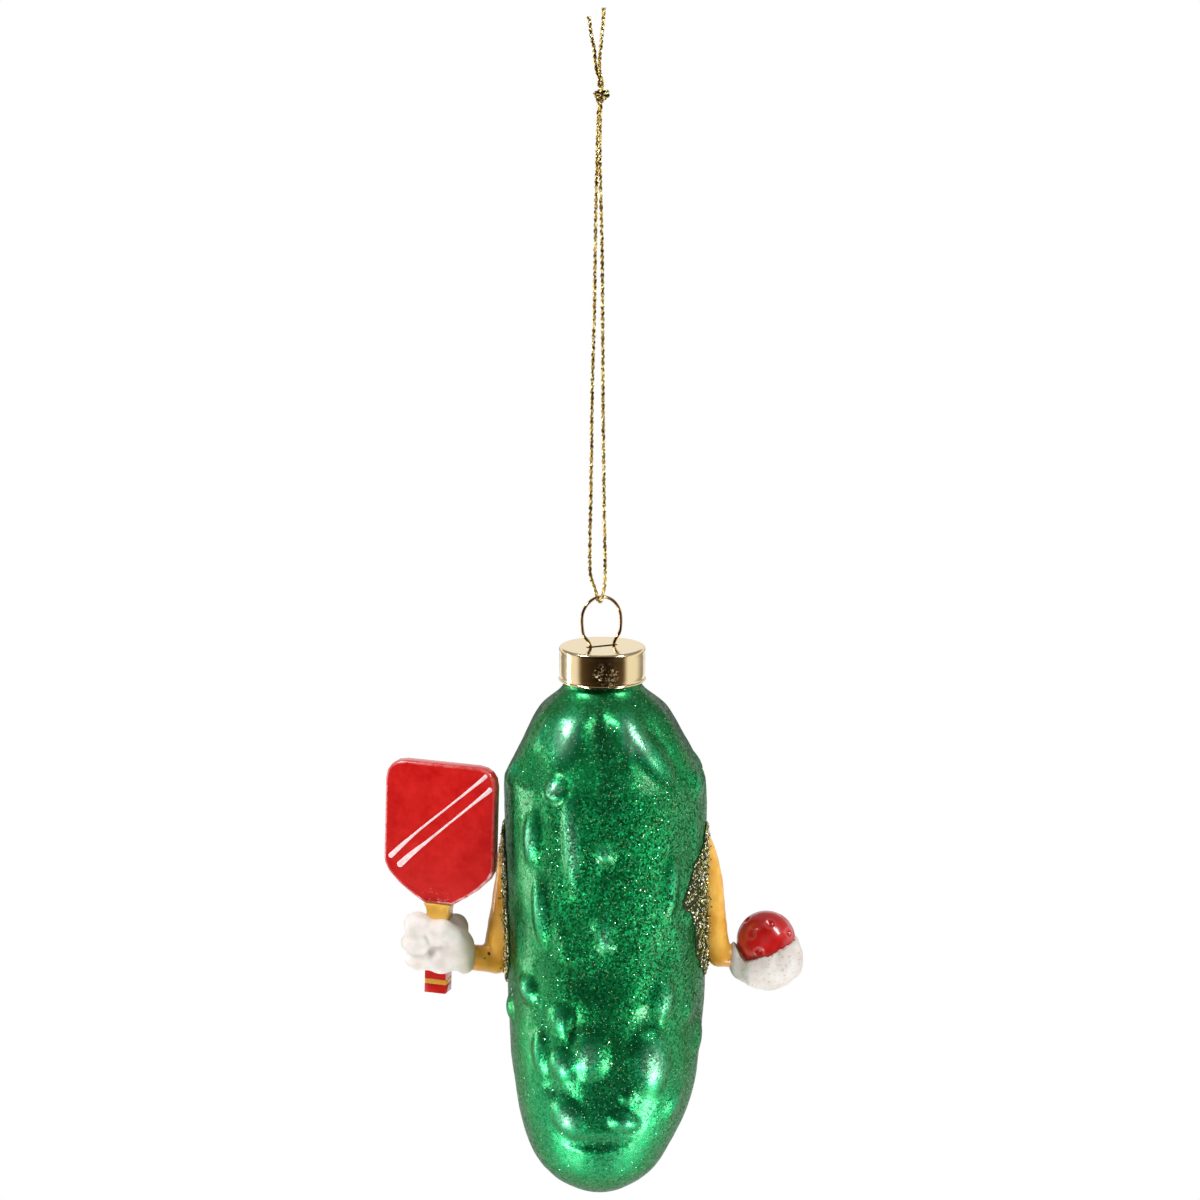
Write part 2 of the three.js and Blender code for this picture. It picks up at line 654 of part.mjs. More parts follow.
// Knot: two crossing turns of the cord round a doubled core, with one small turn to the side
function knotSolid() {
  const turns = KNOT_TURNS.map(([radiusShare, heightShare, x, tiltX, tiltY]) => {
    const ring = new THREE.TorusGeometry(KNOT_RADIUS * radiusShare, CORD_DIAMETER / 2, 6, 12);
    ring.rotateX(THREE.MathUtils.degToRad(tiltX));
    ring.rotateY(THREE.MathUtils.degToRad(tiltY));
    return solidOf(ring.translate(x, 0, KNOT_HEIGHT * heightShare));
  });
  const half = KNOT_HEIGHT / 2;
  return joined([ellipsoid([KNOT_X, 0, half, KNOT_RADIUS, KNOT_RADIUS * 0.85, half], 8, 10), ...turns]);
}

// Paddle, in its own frame
function bladeGeometry() {
  const half = BLADE_WIDTH / 2;
  const foot = BLADE_FOOT / 2;
  const shape = new THREE.Shape();
  shape.moveTo(-foot, 0);
  shape.lineTo(foot, 0);
  shape.lineTo(half * 0.72, BLADE_TAPER * 0.42);
  shape.quadraticCurveTo(half, BLADE_TAPER * 0.68, half, BLADE_TAPER);
  shape.lineTo(half, BLADE_HEIGHT - BLADE_CORNER);
  shape.quadraticCurveTo(half, BLADE_HEIGHT, half - BLADE_CORNER, BLADE_HEIGHT);
  shape.lineTo(BLADE_CORNER - half, BLADE_HEIGHT);
  shape.quadraticCurveTo(-half, BLADE_HEIGHT, -half, BLADE_HEIGHT - BLADE_CORNER);
  shape.lineTo(-half, BLADE_TAPER);
  shape.quadraticCurveTo(-half, BLADE_TAPER * 0.68, -half * 0.72, BLADE_TAPER * 0.42);
  shape.closePath();
  const depth = BLADE_THICKNESS - 2 * BLADE_EDGE;
  const geometry = new THREE.ExtrudeGeometry(shape, {
    depth,
    curveSegments: 5,
    bevelThickness: BLADE_EDGE,
    bevelSize: BLADE_EDGE,
    bevelOffset: -BLADE_EDGE,
    bevelSegments: 2,
  });
  return geometry.rotateX(Math.PI / 2).translate(0, depth / 2, NECK_LENGTH + STACK_GAP);
}

function neckGeometry(grow) {
  const half = HANDLE_WIDTH / 2 + grow;
  const foot = BLADE_FOOT / 2 + grow;
  const shape = new THREE.Shape();
  shape.moveTo(-half, 0);
  shape.lineTo(half, 0);
  shape.lineTo(half, NECK_LENGTH - NECK_FLARE);
  shape.quadraticCurveTo(half, NECK_LENGTH, foot, NECK_LENGTH);
  shape.lineTo(-foot, NECK_LENGTH);
  shape.quadraticCurveTo(-half, NECK_LENGTH, -half, NECK_LENGTH - NECK_FLARE);
  shape.closePath();
  const depth = HANDLE_THICKNESS + 2 * grow;
  const geometry = new THREE.ExtrudeGeometry(shape, { depth, curveSegments: 4, bevelEnabled: false });
  return geometry.rotateX(Math.PI / 2).translate(0, depth / 2, 0);
}

// A length of the handle, from one height down to another
function handleLength(top, bottom, grow) {
  const height = top - bottom;
  const geometry = box(HANDLE_WIDTH + 2 * grow, HANDLE_THICKNESS + 2 * grow, height);
  return geometry.translate(0, 0, bottom + height / 2);
}

function stripeGeometry([[x1, z1, r1], [x2, z2, r2]]) {
  const length = Math.hypot(x1 - x2, z1 - z2);
  const shape = new THREE.Shape();
  shape.absarc(0, 0, r1, Math.PI / 2, 1.5 * Math.PI, false);
  shape.lineTo(length * 0.8, -r1 * 0.75);
  shape.absarc(length, 0, r2, 1.6 * Math.PI, 2.4 * Math.PI, false);
  shape.lineTo(length * 0.8, r1 * 0.75);
  shape.closePath();
  const geometry = new THREE.ExtrudeGeometry(shape, {
    depth: STRIPE_THICKNESS,
    curveSegments: 4,
    bevelEnabled: false,
  });
  geometry.rotateZ(Math.atan2(z2 - z1, x2 - x1)).translate(x1, z1, 0);
  const face = BLADE_THICKNESS / 2 + STACK_GAP;
  return geometry.rotateX(Math.PI / 2).translate(0, -face, NECK_LENGTH);
}

function fistMiddle() {
  const z = ARM_TOP_Z - PADDLE_DROP;
  return new THREE.Vector3(sideOfGlass(-1, z) - PADDLE_REACH, PADDLE_Y, z);
}

// The frame of the paddle: handle along Z, leaned and turned in the fist
function paddleFrame() {
  const turn = new THREE.Euler(
    0,
    THREE.MathUtils.degToRad(PADDLE_LEAN),
    THREE.MathUtils.degToRad(PADDLE_TURN),
    "ZYX",
  );
  return new THREE.Matrix4().compose(
    fistMiddle(),
    new THREE.Quaternion().setFromEuler(turn),
    new THREE.Vector3(1, 1, 1),
  );
}

const GRIP_BOTTOM = -GRIP_LENGTH;
const BAND_TOP = GRIP_BOTTOM - STACK_GAP;
const BAND_BOTTOM = BAND_TOP - BAND_HEIGHT;
const BUTT_TOP = BAND_BOTTOM - STACK_GAP;
const BUTT_BOTTOM = BUTT_TOP - BUTT_LENGTH;

function fistSolid() {
  const middle = fistMiddle();
  const lumps = FIST_LUMPS.map((lump) => ellipsoid(lump, 7, 10));
  const fist = joined(lumps).translate(middle.toArray());
  const handle = joined([
    solidOf(neckGeometry(GLUE_GAP)),
    solidOf(handleLength(0.5, BUTT_BOTTOM, GLUE_GAP)),
  ]);
  const bore = solidOf(geometryOf(handle).applyMatrix4(paddleFrame()));
  return fist.subtract(bore).subtract(leftArm(GLUE_GAP));
}

// Ball and hand
function ballMiddle() {
  const z = ARM_TOP_Z - BALL_DROP;
  return new THREE.Vector3(sideOfGlass(1, z) + BALL_REACH, BALL_Y, z);
}

function ballSolid() {
  const middle = ballMiddle();
  let ball = ellipsoid([0, 0, 0, BALL_RADIUS, BALL_RADIUS, BALL_RADIUS], 12, 20);
  const reach = BALL_RADIUS + DIMPLE_RADIUS - DIMPLE_DEPTH;
  for (const [fromTop, first] of DIMPLE_RINGS) {
    for (let i = 0; i < DIMPLES_PER_RING; i++) {
      const around = first + (360 / DIMPLES_PER_RING) * i;
      const out = new THREE.Vector3().setFromSphericalCoords(
        reach,
        THREE.MathUtils.degToRad(fromTop),
        THREE.MathUtils.degToRad(around + 90),
      );
      const dimple = [out.x, -out.z, out.y, DIMPLE_RADIUS, DIMPLE_RADIUS, DIMPLE_RADIUS];
      ball = ball.subtract(ellipsoid(dimple, 4, 6));
    }
  }
  return ball.translate(middle.toArray());
}

function ballSeat() {
  const seat = BALL_RADIUS + GLUE_GAP;
  return ellipsoid([...ballMiddle().toArray(), seat, seat, seat], 12, 20);
}

function handSolid() {
  const lumps = HAND_LUMPS.map((lump) => ellipsoid(lump, 7, 10));
  const reach = 4 * BALL_RADIUS;
  const above = box(reach, reach, reach / 2).translate(0, 0, reach / 4);
  above.rotateY(THREE.MathUtils.degToRad(-HAND_RIM_SLANT)).translate(0, 0, -HAND_RIM_DROP);
  const hand = joined(lumps).subtract(solidOf(above)).translate(ballMiddle().toArray());
  return hand.subtract(ballSeat()).subtract(rightArm(GLUE_GAP));
}

// Finishes
const finish = (color, roughness, metalness) => new THREE.MeshStandardMaterial({ color, roughness, metalness });
const green = () => finish(0x0a8a4a, 0.3, 0.7);
const gold = () => finish(0xd9b978, 0.15, 1);
const wireGold = () => finish(0xa9744e, 0.2, 1);
const cordGold = () => finish(0xb08d35, 0.45, 0.8);
const yellow = () => finish(0xe9ae3c, 0.3, 0);
const white = () => finish(0xebe7e4, 0.4, 0);
const red = () => finish(0xc4161c, 0.15, 0);
const paint = () => finish(0xf6e4e4, 0.3, 0);
const glitter = () => finish(0xb9b45a, 0.4, 0.8);

const ornament = new THREE.Group();
function place(name, shape, material, parent = ornament) {
  const geometry = shape.isBufferGeometry ? shape : geometryOf(shape);
  const mesh = new THREE.Mesh(geometry, material);
  mesh.name = name;
  parent.add(mesh);
}

const glassGrown = bodySkin(GLUE_GAP);

place("hanging_cord", tube(CORD_ROUTE, CORD_DIAMETER, 8, 2), cordGold());
place("cord_knot", knotSolid(), cordGold());
place("cord_tail_left", tube(LEFT_TAIL_ROUTE, CORD_DIAMETER, 8, 2), cordGold());
place("cord_tail_right", tube(RIGHT_TAIL_ROUTE, CORD_DIAMETER, 8, 2), cordGold());
place("hanger_wire", wireGeometry(), wireGold());
place("cap", capSolid(), gold());
place("glass_body", glassSolid(), green());

place("left_arm", leftArm(0).subtract(glassGrown), yellow());
place("right_arm", rightArm(0).subtract(glassGrown).subtract(ballSeat()), yellow());
const leftSeam = seamSolid(-1, LEFT_ARM_Y, [...LEFT_UPPER_ARM, LEFT_ELBOW], LEFT_SEAM_FRONT);
const rightSeam = seamSolid(1, RIGHT_ARM_Y, [...RIGHT_UPPER_ARM, RIGHT_ELBOW], RIGHT_SEAM_FRONT);
place("seam_left", leftSeam.subtract(glassGrown).subtract(leftArm(GLUE_GAP)), glitter());
place("seam_right", rightSeam.subtract(glassGrown).subtract(rightArm(GLUE_GAP)), glitter());
place("left_glove", fistSolid(), white());
place("right_glove", handSolid(), white());
place("ball", ballSolid(), red());

const paddle = new THREE.Group();
paddle.applyMatrix4(paddleFrame());
ornament.add(paddle);
place("paddle_blade", bladeGeometry(), red(), paddle);
place("stripe_upper", stripeGeometry(UPPER_STRIPE), paint(), paddle);
place("stripe_lower", stripeGeometry(LOWER_STRIPE), paint(), paddle);
place("paddle_neck", neckGeometry(0), yellow(), paddle);
place("paddle_grip", handleLength(-STACK_GAP, GRIP_BOTTOM, 0), red(), paddle);
place("grip_band", handleLength(BAND_TOP, BAND_BOTTOM, 0), yellow(), paddle);
place("grip_butt", handleLength(BUTT_TOP, BUTT_BOTTOM, 0), red(), paddle);

export default ornament;
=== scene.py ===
# A hanging glass ornament, seen from the figure's back: a green pickle with a gold cap and a knotted
# cord, whose cast arms hold a paddle and a ball. Metres, +Z up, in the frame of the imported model.
import bisect
import math
import random

import bmesh
import bpy
from mathutils import Matrix, Vector, noise


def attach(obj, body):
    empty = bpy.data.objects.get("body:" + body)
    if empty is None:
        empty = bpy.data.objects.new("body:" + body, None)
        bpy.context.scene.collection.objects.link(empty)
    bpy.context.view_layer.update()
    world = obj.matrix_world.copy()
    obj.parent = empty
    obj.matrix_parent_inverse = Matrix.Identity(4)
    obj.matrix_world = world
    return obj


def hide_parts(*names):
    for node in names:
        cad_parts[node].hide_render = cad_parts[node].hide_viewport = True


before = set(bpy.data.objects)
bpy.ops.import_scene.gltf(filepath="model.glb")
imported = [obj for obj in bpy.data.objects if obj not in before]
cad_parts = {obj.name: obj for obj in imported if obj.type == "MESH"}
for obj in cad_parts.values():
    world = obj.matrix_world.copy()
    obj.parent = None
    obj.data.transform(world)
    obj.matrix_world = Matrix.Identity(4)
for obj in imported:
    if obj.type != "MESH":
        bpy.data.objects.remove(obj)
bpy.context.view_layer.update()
MM = 0.001

# The camera
# It stands in front of the figure's back and looks down by 13 degrees, which the cap's top ellipse gives.
VIEW_MIDDLE = Vector((-0.5, 0, -100.04)) * MM
VIEW_WIDTH = 240 * MM
VIEW_DOWN = math.radians(13.05)
VIEW_DISTANCE = 1.6
SENSOR_WIDTH = 36


def placed(name, data):
    """A new object in the scene."""
    made = bpy.data.objects.new(name, data)
    bpy.context.scene.collection.objects.link(made)
    return made


camera = placed("camera", bpy.data.cameras.new("camera"))
camera.data.sensor_width = SENSOR_WIDTH
camera.data.lens = SENSOR_WIDTH * VIEW_DISTANCE / VIEW_WIDTH
camera.location = VIEW_MIDDLE + VIEW_DISTANCE * Vector((0, -math.cos(VIEW_DOWN), math.sin(VIEW_DOWN)))
camera.rotation_euler = (math.pi / 2 - VIEW_DOWN, 0, 0)
bpy.context.scene.camera = camera

# The hanging cord
# Two plies of gold metallic yarn, twisted to 0.8 mm, in one loop from the knot round the ring's wire and
# back. It hangs limp from the knot, and the ring's weight draws its two runs nearly straight.
PLY_PITCH = 2.5 * MM
PLY_RADIUS = 0.2 * MM
PLY_SWELL = 1.03
LINE_GAP = 0.2 * MM
CORD_ROUTE = [
    (-0.75, 0.5, -0.3),
    (-0.9, 0.55, -3.8),
    (-1.1, 0.65, -11.7),
    (-1.3, 0.75, -19.9),
    (-1.45, 0.85, -29.3),
    (-1.6, 0.95, -40),
    (-1.85, 1, -49.8),
    (-2.1, 1.1, -60),
    (-2.2, 1.2, -70.3),
    (-2.35, 1.25, -80.2),
    (-2.5, 1.3, -86.9),
    (-2.56, 1.4, -92.1),
    (-2.45, 1.45, -94.8),
    (-2, 1.5, -96.8),
    (-1.3, 1.34, -98.68),
    (-1.21, 1.14, -99.48),
    (-0.98, 0.6, -100.07),
    (-0.65, -0.13, -100.28),
    (-0.32, -0.86, -100.07),
    (-0.09, -1.4, -99.48),
    (0, -1.59, -98.68),
    (0.3, -1.6, -97.4),
    (0.5, -1.5, -95.6),
    (0.52, -1.4, -91.6),
    (0.45, -1.3, -86.9),
    (0.3, -1.25, -80.1),
    (0.2, -1.15, -70.3),
    (0.1, -1.1, -59.9),
    (0.05, -1, -49.8),
    (0, -0.95, -39.8),
    (-0.1, -0.85, -29.3),
    (-0.3, -0.75, -19.7),
    (-0.5, -0.65, -11.7),
    (-0.5, -0.55, -3.7),
    (-0.35, -0.5, -0.3),
]


STEPS_PER_SPAN = 24


def smooth_line(points, gap):
    """A smooth line through points in mm, as points in metres that stand gap apart."""
    corners = [Vector(p) * MM for p in points]
    corners = [2 * corners[0] - corners[1], *corners, 2 * corners[-1] - corners[-2]]
    dense = []
    for a, b, c, d in zip(corners, corners[1:], corners[2:], corners[3:]):
        for step in range(STEPS_PER_SPAN):
            t = step / STEPS_PER_SPAN
            bend = (2 * a - 5 * b + 4 * c - d) * t**2
            dense.append(0.5 * (2 * b + (c - a) * t + bend + (3 * b - a - 3 * c + d) * t**3))
    dense.append(corners[-2])
    line = [dense[0]]
    left = gap
    for start, end in zip(dense, dense[1:]):
        length = (end - start).length
        while length >= left:
            start = start.lerp(end, left / length)
            length -= left
            left = gap
            line.append(start)
        left -= length
    line[-1] = dense[-1]
    return line


def twisted(line, radius, pitch, start=0):
    """A line that winds round another one at a radius, once for each pitch."""
    wound = []
    across = Vector((1, 0, 0))
    gone = 0
    for i, point in enumerate(line):
        ahead = line[min(i + 1, len(line) - 1)] - line[max(i - 1, 0)]
        ahead.normalize()
        across = (across - ahead * across.dot(ahead)).normalized()
        gone += (point - line[i - 1]).length if i else 0
        turn = start + 2 * math.pi * gone / pitch
        wound.append(point + radius * (across * math.cos(turn) + ahead.cross(across) * math.sin(turn)))
    return wound


def strands(lines, radii, sides=6):
    """A mesh of round strands along lines, each with one radius or one for each of its points."""
    curve = bpy.data.curves.new("strands", "CURVE")
    curve.dimensions = "3D"
    curve.bevel_depth = 1
    curve.bevel_resolution = max(sides // 2 - 2, 0)
    curve.use_fill_caps = True
    for line, radius in zip(lines, radii):
        spline = curve.splines.new("POLY")
        spline.points.add(len(line) - 1)
        for i, point in enumerate(line):
            spline.points[i].co = (*point, 1)
            spline.points[i].radius = radius[i] if isinstance(radius, list) else radius
    holder = bpy.data.objects.new("strands", curve)
    mesh = bpy.data.meshes.new_from_object(holder)
    bpy.data.objects.remove(holder)
    bpy.data.curves.remove(curve)
    return mesh


def piece(name, mesh, material, body, slot, *nodes):
    """A finished piece that rides on a body and stands for CAD nodes."""
    made = placed(name, mesh)
    mesh.materials.clear()
    mesh.materials.append(material)
    mesh.shade_smooth()
    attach(made, body)
    if nodes:
        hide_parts(*nodes)
    return made


def linear(hex_colour):
    """A colour written as an sRGB hex value, as the linear one that a socket takes."""
    parts = [int(hex_colour[i : i + 2], 16) / 255 for i in (1, 3, 5)]
    return (*[c / 12.92 if c <= 0.04045 else ((c + 0.055) / 1.055) ** 2.4 for c in parts], 1)


def feed(material, node, inputs):
    """Link or set a node's inputs, by their names or numbers."""
    for key, value in inputs.items():
        if isinstance(value, bpy.types.NodeSocket):
            material.node_tree.links.new(value, node.inputs[key])
        else:
            node.inputs[key].default_value = value


def add(material, kind, inputs=None, **settings):
    """Add a node with its settings and its inputs."""
    node = material.node_tree.nodes.new("ShaderNode" + kind)
    for name, value in settings.items():
        setattr(node, name, value)
    feed(material, node, inputs or {})
    return node


def finish_of(name, **sockets):
    """A new material and its shader, with the constants set on the shader's own sockets."""
    made = bpy.data.materials.new(name)
    made.use_nodes = True
    shader = made.node_tree.nodes["Principled BSDF"]
    feed(made, shader, {key.replace("_", " "): value for key, value in sockets.items()})
    return made, shader


def object_place(material, stretch=(1, 1, 1)):
    """The place on the piece in millimetres, stretched along the axes."""
    place = add(material, "TexCoord").outputs["Object"]
    return add(material, "Mapping", {0: place, 3: [s / MM for s in stretch]}, vector_type="POINT").outputs[0]


# Metallised polyester yarn: bright flat strips round a core. Pale gold dashes painted on it are painted
# highlights for its glints, and the dark gaps painted between them are painted shade.
yarn, yarn_shader = finish_of("metallised_polyester_yarn", Metallic=1.0, Roughness=0.3)
yarn_place = object_place(yarn)
yarn_strips = add(yarn, "TexVoronoi", {0: yarn_place, "Scale": 2.4}).outputs
yarn_dice = add(yarn, "SeparateColor", {0: yarn_strips["Color"]}).outputs
yarn_patches = add(yarn, "TexNoise", {0: yarn_place, "Scale": 1.1, "Detail": 3}).outputs[0]
yarn_dark = add(yarn, "MapRange", {0: yarn_patches, 1: 0.4, 2: 0.6}).outputs[0]
yarn_tone = add(
    yarn,
    "Mix",
    {0: yarn_dark, 6: linear("#7A5A1E"), 7: linear("#D9B458")},
    data_type="RGBA",
).outputs[2]
# Pale gold painted on some cells in short dashes: painted highlights for the yarn's glints
yarn_glint = add(yarn, "MapRange", {0: yarn_dice[0], 1: 0.62, 2: 0.72}).outputs[0]
yarn_lit = add(
    yarn,
    "Mix",
    {0: yarn_glint, 6: yarn_tone, 7: linear("#F7ECB4")},
    data_type="RGBA",
).outputs[2]
# Near black painted on other cells: painted shade in the gaps between the strips
yarn_gap = add(yarn, "MapRange", {0: yarn_dice[1], 1: 0.7, 2: 0.78}).outputs[0]
yarn_colour = add(
    yarn,
    "Mix",
    {0: yarn_gap, 6: yarn_lit, 7: linear("#3A2A10")},
    data_type="RGBA",
).outputs[2]
yarn_bump = add(yarn, "Bump", {"Strength": 0.6, "Distance": 0.1 * MM, "Height": yarn_strips[0]}).outputs[0]
feed(yarn, yarn_shader, {"Base Color": yarn_colour, "Normal": yarn_bump})


def two_plies(lines, pitch=PLY_PITCH):
    """The two plies of the cord along each line."""
    plies = [twisted(line, PLY_RADIUS, pitch, start) for line in lines for start in (0, math.pi)]
    return strands(plies, [PLY_RADIUS * PLY_SWELL] * len(plies), 8)


cord_line = smooth_line(CORD_ROUTE, LINE_GAP)
hanging_cord = piece("cord_loop", two_plies([cord_line]), yarn, "cord", "cord", "hanging_cord")

# The knot and the two cut ends
# An overhand knot in the doubled cord, drawn tight. Its turns cross in the middle, one small turn stands
# out to the side, and the two ends leave it crossed and spread apart. The cut ends are a little frayed.
KNOT_MIDDLE = Vector((-0.42, 0, 1.95))
KNOT_HALF_WIDTH = 1.22
KNOT_HALF_DEPTH = 0.62
KNOT_STEPS = 30
KNOT_PITCH = 2.1 * MM
knot_turns = []
for i in range(KNOT_STEPS + 1):
    t = i * 2 * math.pi / KNOT_STEPS
    across = KNOT_HALF_WIDTH * (math.sin(t) + 2 * math.sin(2 * t)) / 3
    up = KNOT_HALF_WIDTH * (math.cos(t) - 2 * math.cos(2 * t)) / 3
    knot_turns.append(KNOT_MIDDLE + Vector((across, -KNOT_HALF_DEPTH * math.sin(3 * t), up)))
SIDE_TURN = [
    (-0.2, -0.6, 1.5),
    (0.35, -0.75, 1.55),
    (0.95, -0.6, 1.95),
    (1.08, -0.25, 2.5),
    (0.8, 0.1, 2.9),
    (0.35, 0.15, 2.75),
    (0.1, -0.3, 2.3),
]
KNOT_FOOT_LEFT = [(-0.75, 0.5, -0.3), (-0.75, 0.4, 0.4), (-0.6, 0.2, 1.1)]
KNOT_FOOT_RIGHT = [(-0.35, -0.5, -0.3), (-0.35, -0.45, 0.4), (-0.3, -0.2, 1.1)]
KNOT_HEAD_LEFT = [(0.2, 0.3, 2.4), (0, 0.45, 3.1), (-0.5, 0.45, 3.7), (-0.75, 0.45, 4.1)]
KNOT_HEAD_RIGHT = [(-0.9, -0.3, 2.3), (-0.7, -0.6, 3), (-0.2, -0.55, 3.6), (-0.1, -0.45, 4.1)]
knot_parts = [knot_turns, SIDE_TURN, KNOT_FOOT_LEFT, KNOT_FOOT_RIGHT, KNOT_HEAD_LEFT, KNOT_HEAD_RIGHT]
knot_lines = [smooth_line(part, 0.12 * MM) for part in knot_parts]
knot = piece("overhand_knot", two_plies(knot_lines, KNOT_PITCH), yarn, "cord", "cord", "cord_knot")

LEFT_END = [
    (-0.75, 0.45, 4),
    (-0.75, 0.45, 5.2),
    (-1.1, 0.45, 6.6),
    (-1.45, 0.45, 8.8),
    (-1.65, 0.4, 11.3),
    (-2.15, 0.35, 13.7),
    (-2.5, 0.3, 16.2),
    (-2.65, 0.3, 17.5),
]
RIGHT_END = [
    (-0.1, -0.45, 4),
    (-0.05, -0.45, 5.2),
    (-0.5, -0.45, 6.6),
    (-0.6, -0.45, 8.8),
    (-0.4, -0.4, 11.3),
    (-0.15, -0.35, 14.2),
    (0.15, -0.3, 17),
    (0.25, -0.3, 19.3),
]
FRAYS = 7
FRAY_LENGTH = 1.1
FRAY_RADIUS = 0.07 * MM
FRAY_SPREAD = 0.28


def cut_end(route, seed):
    """One end of the cord with its frayed strips."""
    dice = random.Random(seed)
    line = smooth_line(route, LINE_GAP)
    plies = [twisted(line, PLY_RADIUS, PLY_PITCH * 0.9, start) for start in (0, math.pi)]
    radii = [PLY_RADIUS * PLY_SWELL] * 2
    tip = Vector(route[-1])
    for _ in range(FRAYS):
        lean = Vector([dice.uniform(-FRAY_SPREAD, FRAY_SPREAD) for _ in "xy"] + [0])
        foot = tip + lean * 0.7 - Vector((0, 0, 0.5))
        head = tip + lean * 1.5 + Vector((0, 0, FRAY_LENGTH * dice.uniform(0.05, 0.28)))
        plies.append(smooth_line([foot, (foot + head) / 2 + lean * 0.2, head], LINE_GAP))
        radii.append(FRAY_RADIUS)
    return strands(plies, radii, 8)


left_end = piece("cord_end_left", cut_end(LEFT_END, 3), yarn, "cord", "cord", "cord_tail_left")
right_end = piece("cord_end_right", cut_end(RIGHT_END, 5), yarn, "cord", "cord", "cord_tail_right")

# The wire ring
# One length of copper-gold plated spring wire. Its arch holds the cord, its legs pinch together in the
# cap's slot, and its two prongs splay out below and hold the cap on the glass neck.
CAP_TOP = -109.5
CAP_MIDDLE_X = -0.05
WIRE_RADIUS = 0.31 * MM
RING_TURN = math.radians(24)
RING_LEAN = math.tan(math.radians(2))
ARCH_HALF_WIDTH = 4.27
ARCH_HEIGHT = 4.6
ARCH_FOOT = 5.55
ring_arch = [
    (ARCH_HALF_WIDTH * math.sin(math.radians(a)), ARCH_FOOT + ARCH_HEIGHT * math.cos(math.radians(a)))
    for a in range(-90, 91, 15)
]
# A leg from the end of its prong to the arch, as distance out from the middle and height over the cap
RING_LEG = [
    (5.92, -19),
    (6.17, -10.45),
    (4.97, -3.8),
    (3.43, -1.3),
    (2.53, -0.2),
    (2.92, 1.1),
    (3.92, 2.5),
    (4.21, 4),
]
ring_route = [(-u, w) for u, w in RING_LEG] + ring_arch + RING_LEG[::-1]
ring_points = []
for u, w in ring_route:
    along = u - RING_LEAN * max(w, 0)
    ring_points.append(
        (CAP_MIDDLE_X + along * math.cos(RING_TURN), along * math.sin(RING_TURN), CAP_TOP + w)
    )
ring_line = smooth_line(ring_points, 0.25 * MM)

# Copper-gold plated steel wire, drawn and polished: mirror-bright, with its plating in two cloudy tones.
plated_wire, wire_shader = finish_of("copper_gold_plated_wire", Metallic=1.0, Roughness=0.16)
wire_wear = add(
    plated_wire,
    "TexNoise",
    {0: object_place(plated_wire), "Scale": 0.9, "Detail": 4},
).outputs[0]
wire_colour = add(
    plated_wire,
    "Mix",
    {0: wire_wear, 6: linear("#A8804E"), 7: linear("#D8B98E")},
    data_type="RGBA",
).outputs[2]
feed(plated_wire, wire_shader, {"Base Color": wire_colour})
piece("ring_wire", strands([ring_line], [WIRE_RADIUS], 16), plated_wire, "hanger", "wire", "hanger_wire")

# The cap
# Brass-plated sheet steel, pressed to a cup with a rounded top edge and a rolled lower rim, and slotted in
# the middle for the wire. It sits over the glass neck.
CAP_RADIUS = 8.6
CAP_BOTTOM = -116.4
CAP_WALL = 0.4
CAP_EDGE = 0.55
CAP_STEPS = 160
SLOT_SIZE = (6.82, 1.26, 1.6)
CREASE_ANGLE = math.radians(45)


def turned(profile, steps, middle_x=0):
    """A closed bmesh that spins a profile of (radius, height) in mm round a vertical axis."""
    bm = bmesh.new()
    verts = [bm.verts.new(Vector((middle_x + r, 0, z)) * MM) for r, z in profile]
    edges = [bm.edges.new(pair) for pair in zip(verts, verts[1:])]
    bmesh.ops.spin(
        bm,
        geom=verts + edges,
        cent=Vector((middle_x, 0, 0)) * MM,
        axis=(0, 0, 1),
        angle=2 * math.pi,
        steps=steps,
        use_merge=True,
    )
    bmesh.ops.remove_doubles(bm, verts=bm.verts, dist=0.002 * MM)
    bmesh.ops.recalc_face_normals(bm, faces=bm.faces)
    return bm


def mesh_of(bm):
    """The mesh of a finished bmesh."""
    mesh = bpy.data.meshes.new("shape")
    bm.to_mesh(mesh)
    bm.free()
    return mesh


def shaped(mesh, *modifiers):
    """A copy of a mesh with modifiers applied, each given as (type, settings)."""
    holder = placed("shaping", mesh)
    for kind, settings in modifiers:
        modifier = holder.modifiers.new(kind.lower(), kind)
        for name, value in settings.items():
            setattr(modifier, name, value)
    state = bpy.context.evaluated_depsgraph_get()
    state.update()
    made = bpy.data.meshes.new_from_object(holder.evaluated_get(state))
    bpy.data.objects.remove(holder)
    return made


def cut(mesh, *tools):
    """A mesh with other meshes cut out of it."""
    for tool in tools:
        holder = placed("tool", tool)
        mesh = shaped(mesh, ("BOOLEAN", {"operation": "DIFFERENCE", "solver": "EXACT", "object": holder}))
        bpy.data.objects.remove(holder)
    return mesh


def rounded_corner(radius, r, z, start, end, steps):
    """Points of a rounded corner about (r, z), from one angle to another in degrees."""
    angles = [math.radians(start + (end - start) * i / steps) for i in range(steps + 1)]
    return [(r + radius * math.cos(a), z + radius * math.sin(a)) for a in angles]


